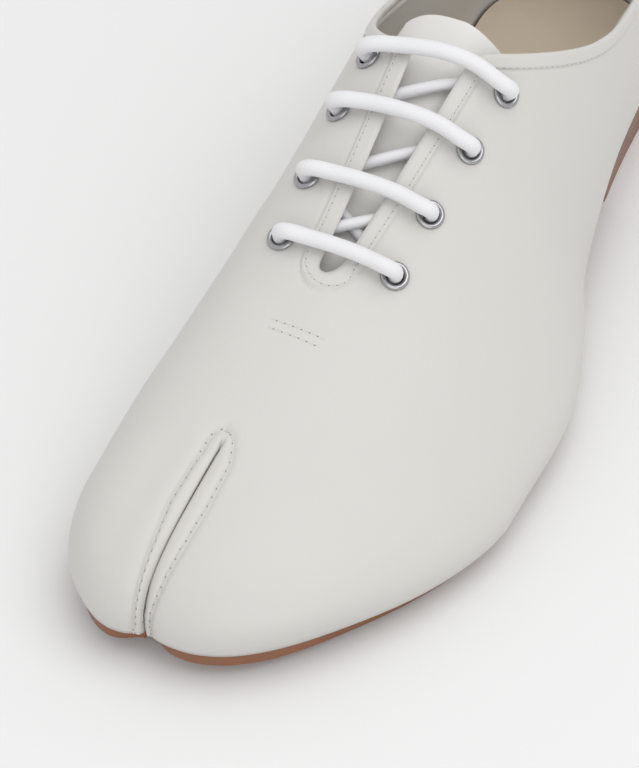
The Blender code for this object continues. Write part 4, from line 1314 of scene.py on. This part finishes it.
# %% [markdown]
# ## Tongue
# The tongue is a sheet below the throat, sewn under the vamp at its lower end.  It is one grid on the
# last, lowered a little and thickened, with its cut edge rounded by a bevel.
# %% Tongue
tongue_rows = []
for back in np.linspace(TONGUE_BOTTOM, TONGUE_TOP, 56):
    share = (back - TONGUE_BOTTOM) / (TONGUE_TOP - TONGUE_BOTTOM)
    half = TONGUE_HALF_WIDTH + (TONGUE_TOP_HALF_WIDTH - TONGUE_HALF_WIDTH) * share
    half *= 1.0 - 0.12 * ease((share - 0.9) / 0.1)
    depth = WALL + 0.5 + (TONGUE_DEPTH - WALL - 0.5) * ease((back - TONGUE_BOTTOM) / 22.0)
    row = []
    for offset in np.linspace(-half, half, 33):
        point, way_out = surface_frame(centre_line(back) + offset, back)
        row.append(point - way_out * depth)
    tongue_rows.append(row)
tongue = join_pieces([grid_piece("tongue_leather", placed(tongue_rows))], 0.00001)
if tongue.data.polygons[len(tongue.data.polygons) // 2].normal.z < 0.0:
    tongue.data.flip_normals()
skirt = tongue.modifiers.new("wall", "SOLIDIFY")
skirt.thickness = TONGUE_THICKNESS * MM
skirt.offset = -1.0
soft = tongue.modifiers.new("soft_edge", "BEVEL")
soft.width = 0.4 * MM
soft.segments = 2
soft.limit_method = "ANGLE"
soft.angle_limit = math.radians(60.0)
use_modifiers(tongue)
only(tongue)
bpy.ops.object.shade_smooth()
settle(tongue, ["tongue"], [tongue_leather])

# %% [markdown]
# ## Eyelets
# An eyelet is a turned part, so its profile is spun round an axis.  Eight copies stand on the facings and
# are joined into one mesh.
# %% Eyelets
EYELET_STEPS = 40
foot = -(WALL + 0.5)
lip = EYELET_TALL
profile = [(EYELET_BORE, foot), (EYELET_BARREL, foot), (EYELET_BARREL, 0.15), (EYELET_FLANGE - 0.1, 0.15)]
for k in range(7):
    turn = math.pi * (k / 6.0)
    middle = (EYELET_FLANGE + EYELET_BORE + 0.2) / 2
    reach = (EYELET_FLANGE - EYELET_BORE - 0.2) / 2
    profile.append((middle + reach * math.cos(turn), 0.35 + (lip - 0.35) * math.sin(turn)))
profile.append((EYELET_BORE, -0.3))
ring_points = []
for k in range(EYELET_STEPS):
    angle = math.tau * k / EYELET_STEPS
    ring_points += [(r * math.cos(angle) * MM, r * math.sin(angle) * MM, z * MM) for r, z in profile]
count = len(profile)
ring_faces = []
for k in range(EYELET_STEPS):
    step = (k + 1) % EYELET_STEPS
    for j in range(count):
        other = (j + 1) % count
        ring_faces.append((k * count + j, step * count + j, step * count + other, k * count + other))
rings = []
for spot in spots:
    ring = mesh_piece("eyelet_rings", ring_points, ring_faces)
    ring.data.transform(upright(spot.point - spot.out * 0.25, spot.out))
    rings.append(ring)
eyelets = join_pieces(rings, 0.000001)
settle(eyelets, [f"eyelet_{spot.side}_{spot.row}" for spot in spots], [metal_look])

# %% [markdown]
# ## Lace
# The lace follows one route: straight bars over the throat, down through the eyelets, and slanting runs
# below the facings.  A smooth curve through the route's points gives rings of a tube, with coordinates
# along and around for the braid.  A curve object with a bevel makes a tube too, but this one can carry the
# braid's coordinates and grow thinner inside an eyelet.
# %% Route of the lace
places = {(spot.side, spot.row): (spot.point, spot.out) for spot in spots}


def lace_bar(start, end):
    """Points and radii of a lace bar over the throat, from one eyelet bore to another."""
    path = []
    way = (end[0] - start[0]) / np.linalg.norm(end[0] - start[0])
    for (point, out), ahead in ((start, way), (end, -way)):
        ahead = ahead - out * float(ahead @ out)
        ahead /= np.linalg.norm(ahead)
        leg = [(point - out * 4.2, LACE_IN_EYELET), (point + out * 1.9, LACE_IN_EYELET),
               (point + out * 3.2 + ahead * 0.5, 0.92), (point + out * 4.2 + ahead * 1.7, 1.0),
               (point + out * 4.6 + ahead * 3.6, 1.0)]
        path.append(leg)
    across = []
    for share in np.linspace(0.24, 0.76, 5):
        x, back = start[0][:2] + (end[0][:2] - start[0][:2]) * share
        point, out = surface_frame(x, back)
        across.append((point + out * (LACE_RADIUS + 1.4), 1.0))
    return path[0] + across + path[1][::-1]


def lace_below(start, end, lift):
    """Points and radii of a run between the facings and the tongue."""
    run = []
    for share in (0.18, 0.34, 0.5, 0.66, 0.82):
        x, back = start[0][:2] + (end[0][:2] - start[0][:2]) * share
        point, out = surface_frame(x, back)
        rise = lift * math.sin(math.pi * share)
        run.append((point - out * (WALL + 0.5 + LACE_RADIUS * LACE_BELOW - rise), LACE_BELOW))
    return run


LACE_TAIL = 4.4
LACE_LIFT = {1: 1.6, 2: 0.4, 3: 0.4}
route = [(places["outer", 1][0] - places["outer", 1][1] * LACE_TAIL, LACE_BELOW)]
for row in EYELETS:
    route += lace_bar(places["outer", row.row], places["inner", row.row])
    if row.row < len(EYELETS):
        route += lace_below(places["inner", row.row], places["outer", row.row + 1], LACE_LIFT[row.row])
route.append((places["inner", 4][0] - places["inner", 4][1] * LACE_TAIL, LACE_BELOW))
crossing = [(places["outer", 1][0] - places["outer", 1][1] * LACE_TAIL, LACE_BELOW)]
crossing += lace_below(places["outer", 1], places["inner", 2], -0.9)
crossing.append((places["inner", 2][0] - places["inner", 2][1] * 4.8, LACE_BELOW))


# %% [markdown]
# ## Tubes of the lace
# The rings of the tube are carried along the route without twisting, so the braid runs straight.  Each end
# is closed by one face.

# %% Tubes of the lace
LACE_SIDES = 18


def cord_mesh(name, path, step):
    """A tube along a path of points and radius shares, with coordinates along and around."""
    knots = np.array([p for p, _ in path])
    radii = np.array([r for _, r in path]) * LACE_RADIUS
    length = np.concatenate([[0.0], np.cumsum(np.linalg.norm(np.diff(knots, axis=0), axis=1))])
    curve = [spline(length, knots[:, k]) for k in range(3)]
    at = np.linspace(0.0, length[-1], int(length[-1] / step))
    line = np.stack([c(at) for c in curve], axis=1)
    thick = np.interp(at, length, radii)
    ahead = np.gradient(line, axis=0)
    ahead /= np.linalg.norm(ahead, axis=1)[:, None]
    side = np.cross(ahead[0], [0.0, 0.0, 1.0])
    points = []
    for k, (here, way, radius) in enumerate(zip(line, ahead, thick)):
        side = side - way * float(side @ way)
        side = side / np.linalg.norm(side)
        up = np.cross(way, side)
        angle = np.linspace(0.0, math.tau, LACE_SIDES, endpoint=False)[:, None]
        points.append(here + radius * (np.cos(angle) * side + np.sin(angle) * up))
    points = placed(np.concatenate(points))
    faces = []
    uv = []
    for k in range(len(line) - 1):
        for j in range(LACE_SIDES):
            step_j = (j + 1) % LACE_SIDES
            faces.append((k * LACE_SIDES + j, k * LACE_SIDES + step_j,
                          (k + 1) * LACE_SIDES + step_j, (k + 1) * LACE_SIDES + j))
            low = at[k] * MM
            high = at[k + 1] * MM
            uv += [(low, j / LACE_SIDES), (low, (j + 1) / LACE_SIDES),
                   (high, (j + 1) / LACE_SIDES), (high, j / LACE_SIDES)]
    last = (len(line) - 1) * LACE_SIDES
    faces.append(range(LACE_SIDES))
    faces.append(range(last + LACE_SIDES - 1, last - 1, -1))
    uv += [(0.0, 0.0)] * LACE_SIDES * 2
    piece = mesh_piece(name, points, faces)
    layer = piece.data.uv_layers.new(name="UVMap")
    layer.data.foreach_set("uv", np.array(uv).reshape(-1))
    only(piece)
    bpy.ops.object.mode_set(mode="EDIT")
    bpy.ops.mesh.select_all(action="SELECT")
    bpy.ops.mesh.normals_make_consistent(inside=False)
    bpy.ops.object.mode_set(mode="OBJECT")
    return piece, length[-1]


lace, lace_length = cord_mesh("lace_cord", route, 0.7)
settle(lace, ["lace"], [lace_look])
second, second_length = cord_mesh("lace_crossing", crossing, 0.7)
settle(second, [], [lace_look])
print("lace shown is", round(float(lace_length + second_length)), "mm long")

# %% [markdown]
# ## Floor and light
# The photograph was taken on a pale seamless floor in very soft light: bright from above and the right,
# darker on the big toe side, with a soft shadow under the toe.  One wide lamp above, a weak one on the
# right and an even pale world give that.
# %% Floor and light
bpy.ops.object.select_all(action="DESELECT")
bpy.ops.mesh.primitive_plane_add(size=8.0)
floor = bpy.context.object
floor.name = "floor"
floor_look, _, floor_shader = shader_material("floor_look")
floor_shader.inputs["Base Color"].default_value = (0.80, 0.80, 0.80, 1.0)
floor_shader.inputs["Roughness"].default_value = 0.9
floor_shader.inputs["Specular IOR Level"].default_value = 0.1
floor.data.materials.append(floor_look)

world = bpy.data.worlds.new("soft_room")
scene.world = world
world.use_nodes = True
world.node_tree.nodes["Background"].inputs["Color"].default_value = (1.0, 1.0, 1.0, 1.0)
world.node_tree.nodes["Background"].inputs["Strength"].default_value = 0.80

Lamp = namedtuple("Lamp", "name place aim size power")
for lamp in [Lamp("key", (0.40, 0.05, 1.45), (0.0, 0.0, 0.0), 1.4, 7.2),
             Lamp("front", (0.8, -1.3, 0.7), (0.0, -0.1, 0.03), 1.4, 4.2)]:
    light = bpy.data.lights.new(lamp.name, "AREA")
    light.shape = "DISK"
    light.size = lamp.size
    light.energy = lamp.power
    holder = bpy.data.objects.new(lamp.name, light)
    scene.collection.objects.link(holder)
    holder.location = lamp.place
    holder.rotation_euler = (Vector(lamp.place) - Vector(lamp.aim)).to_track_quat("Z", "Y").to_euler()
scene.view_settings.view_transform = "Standard"
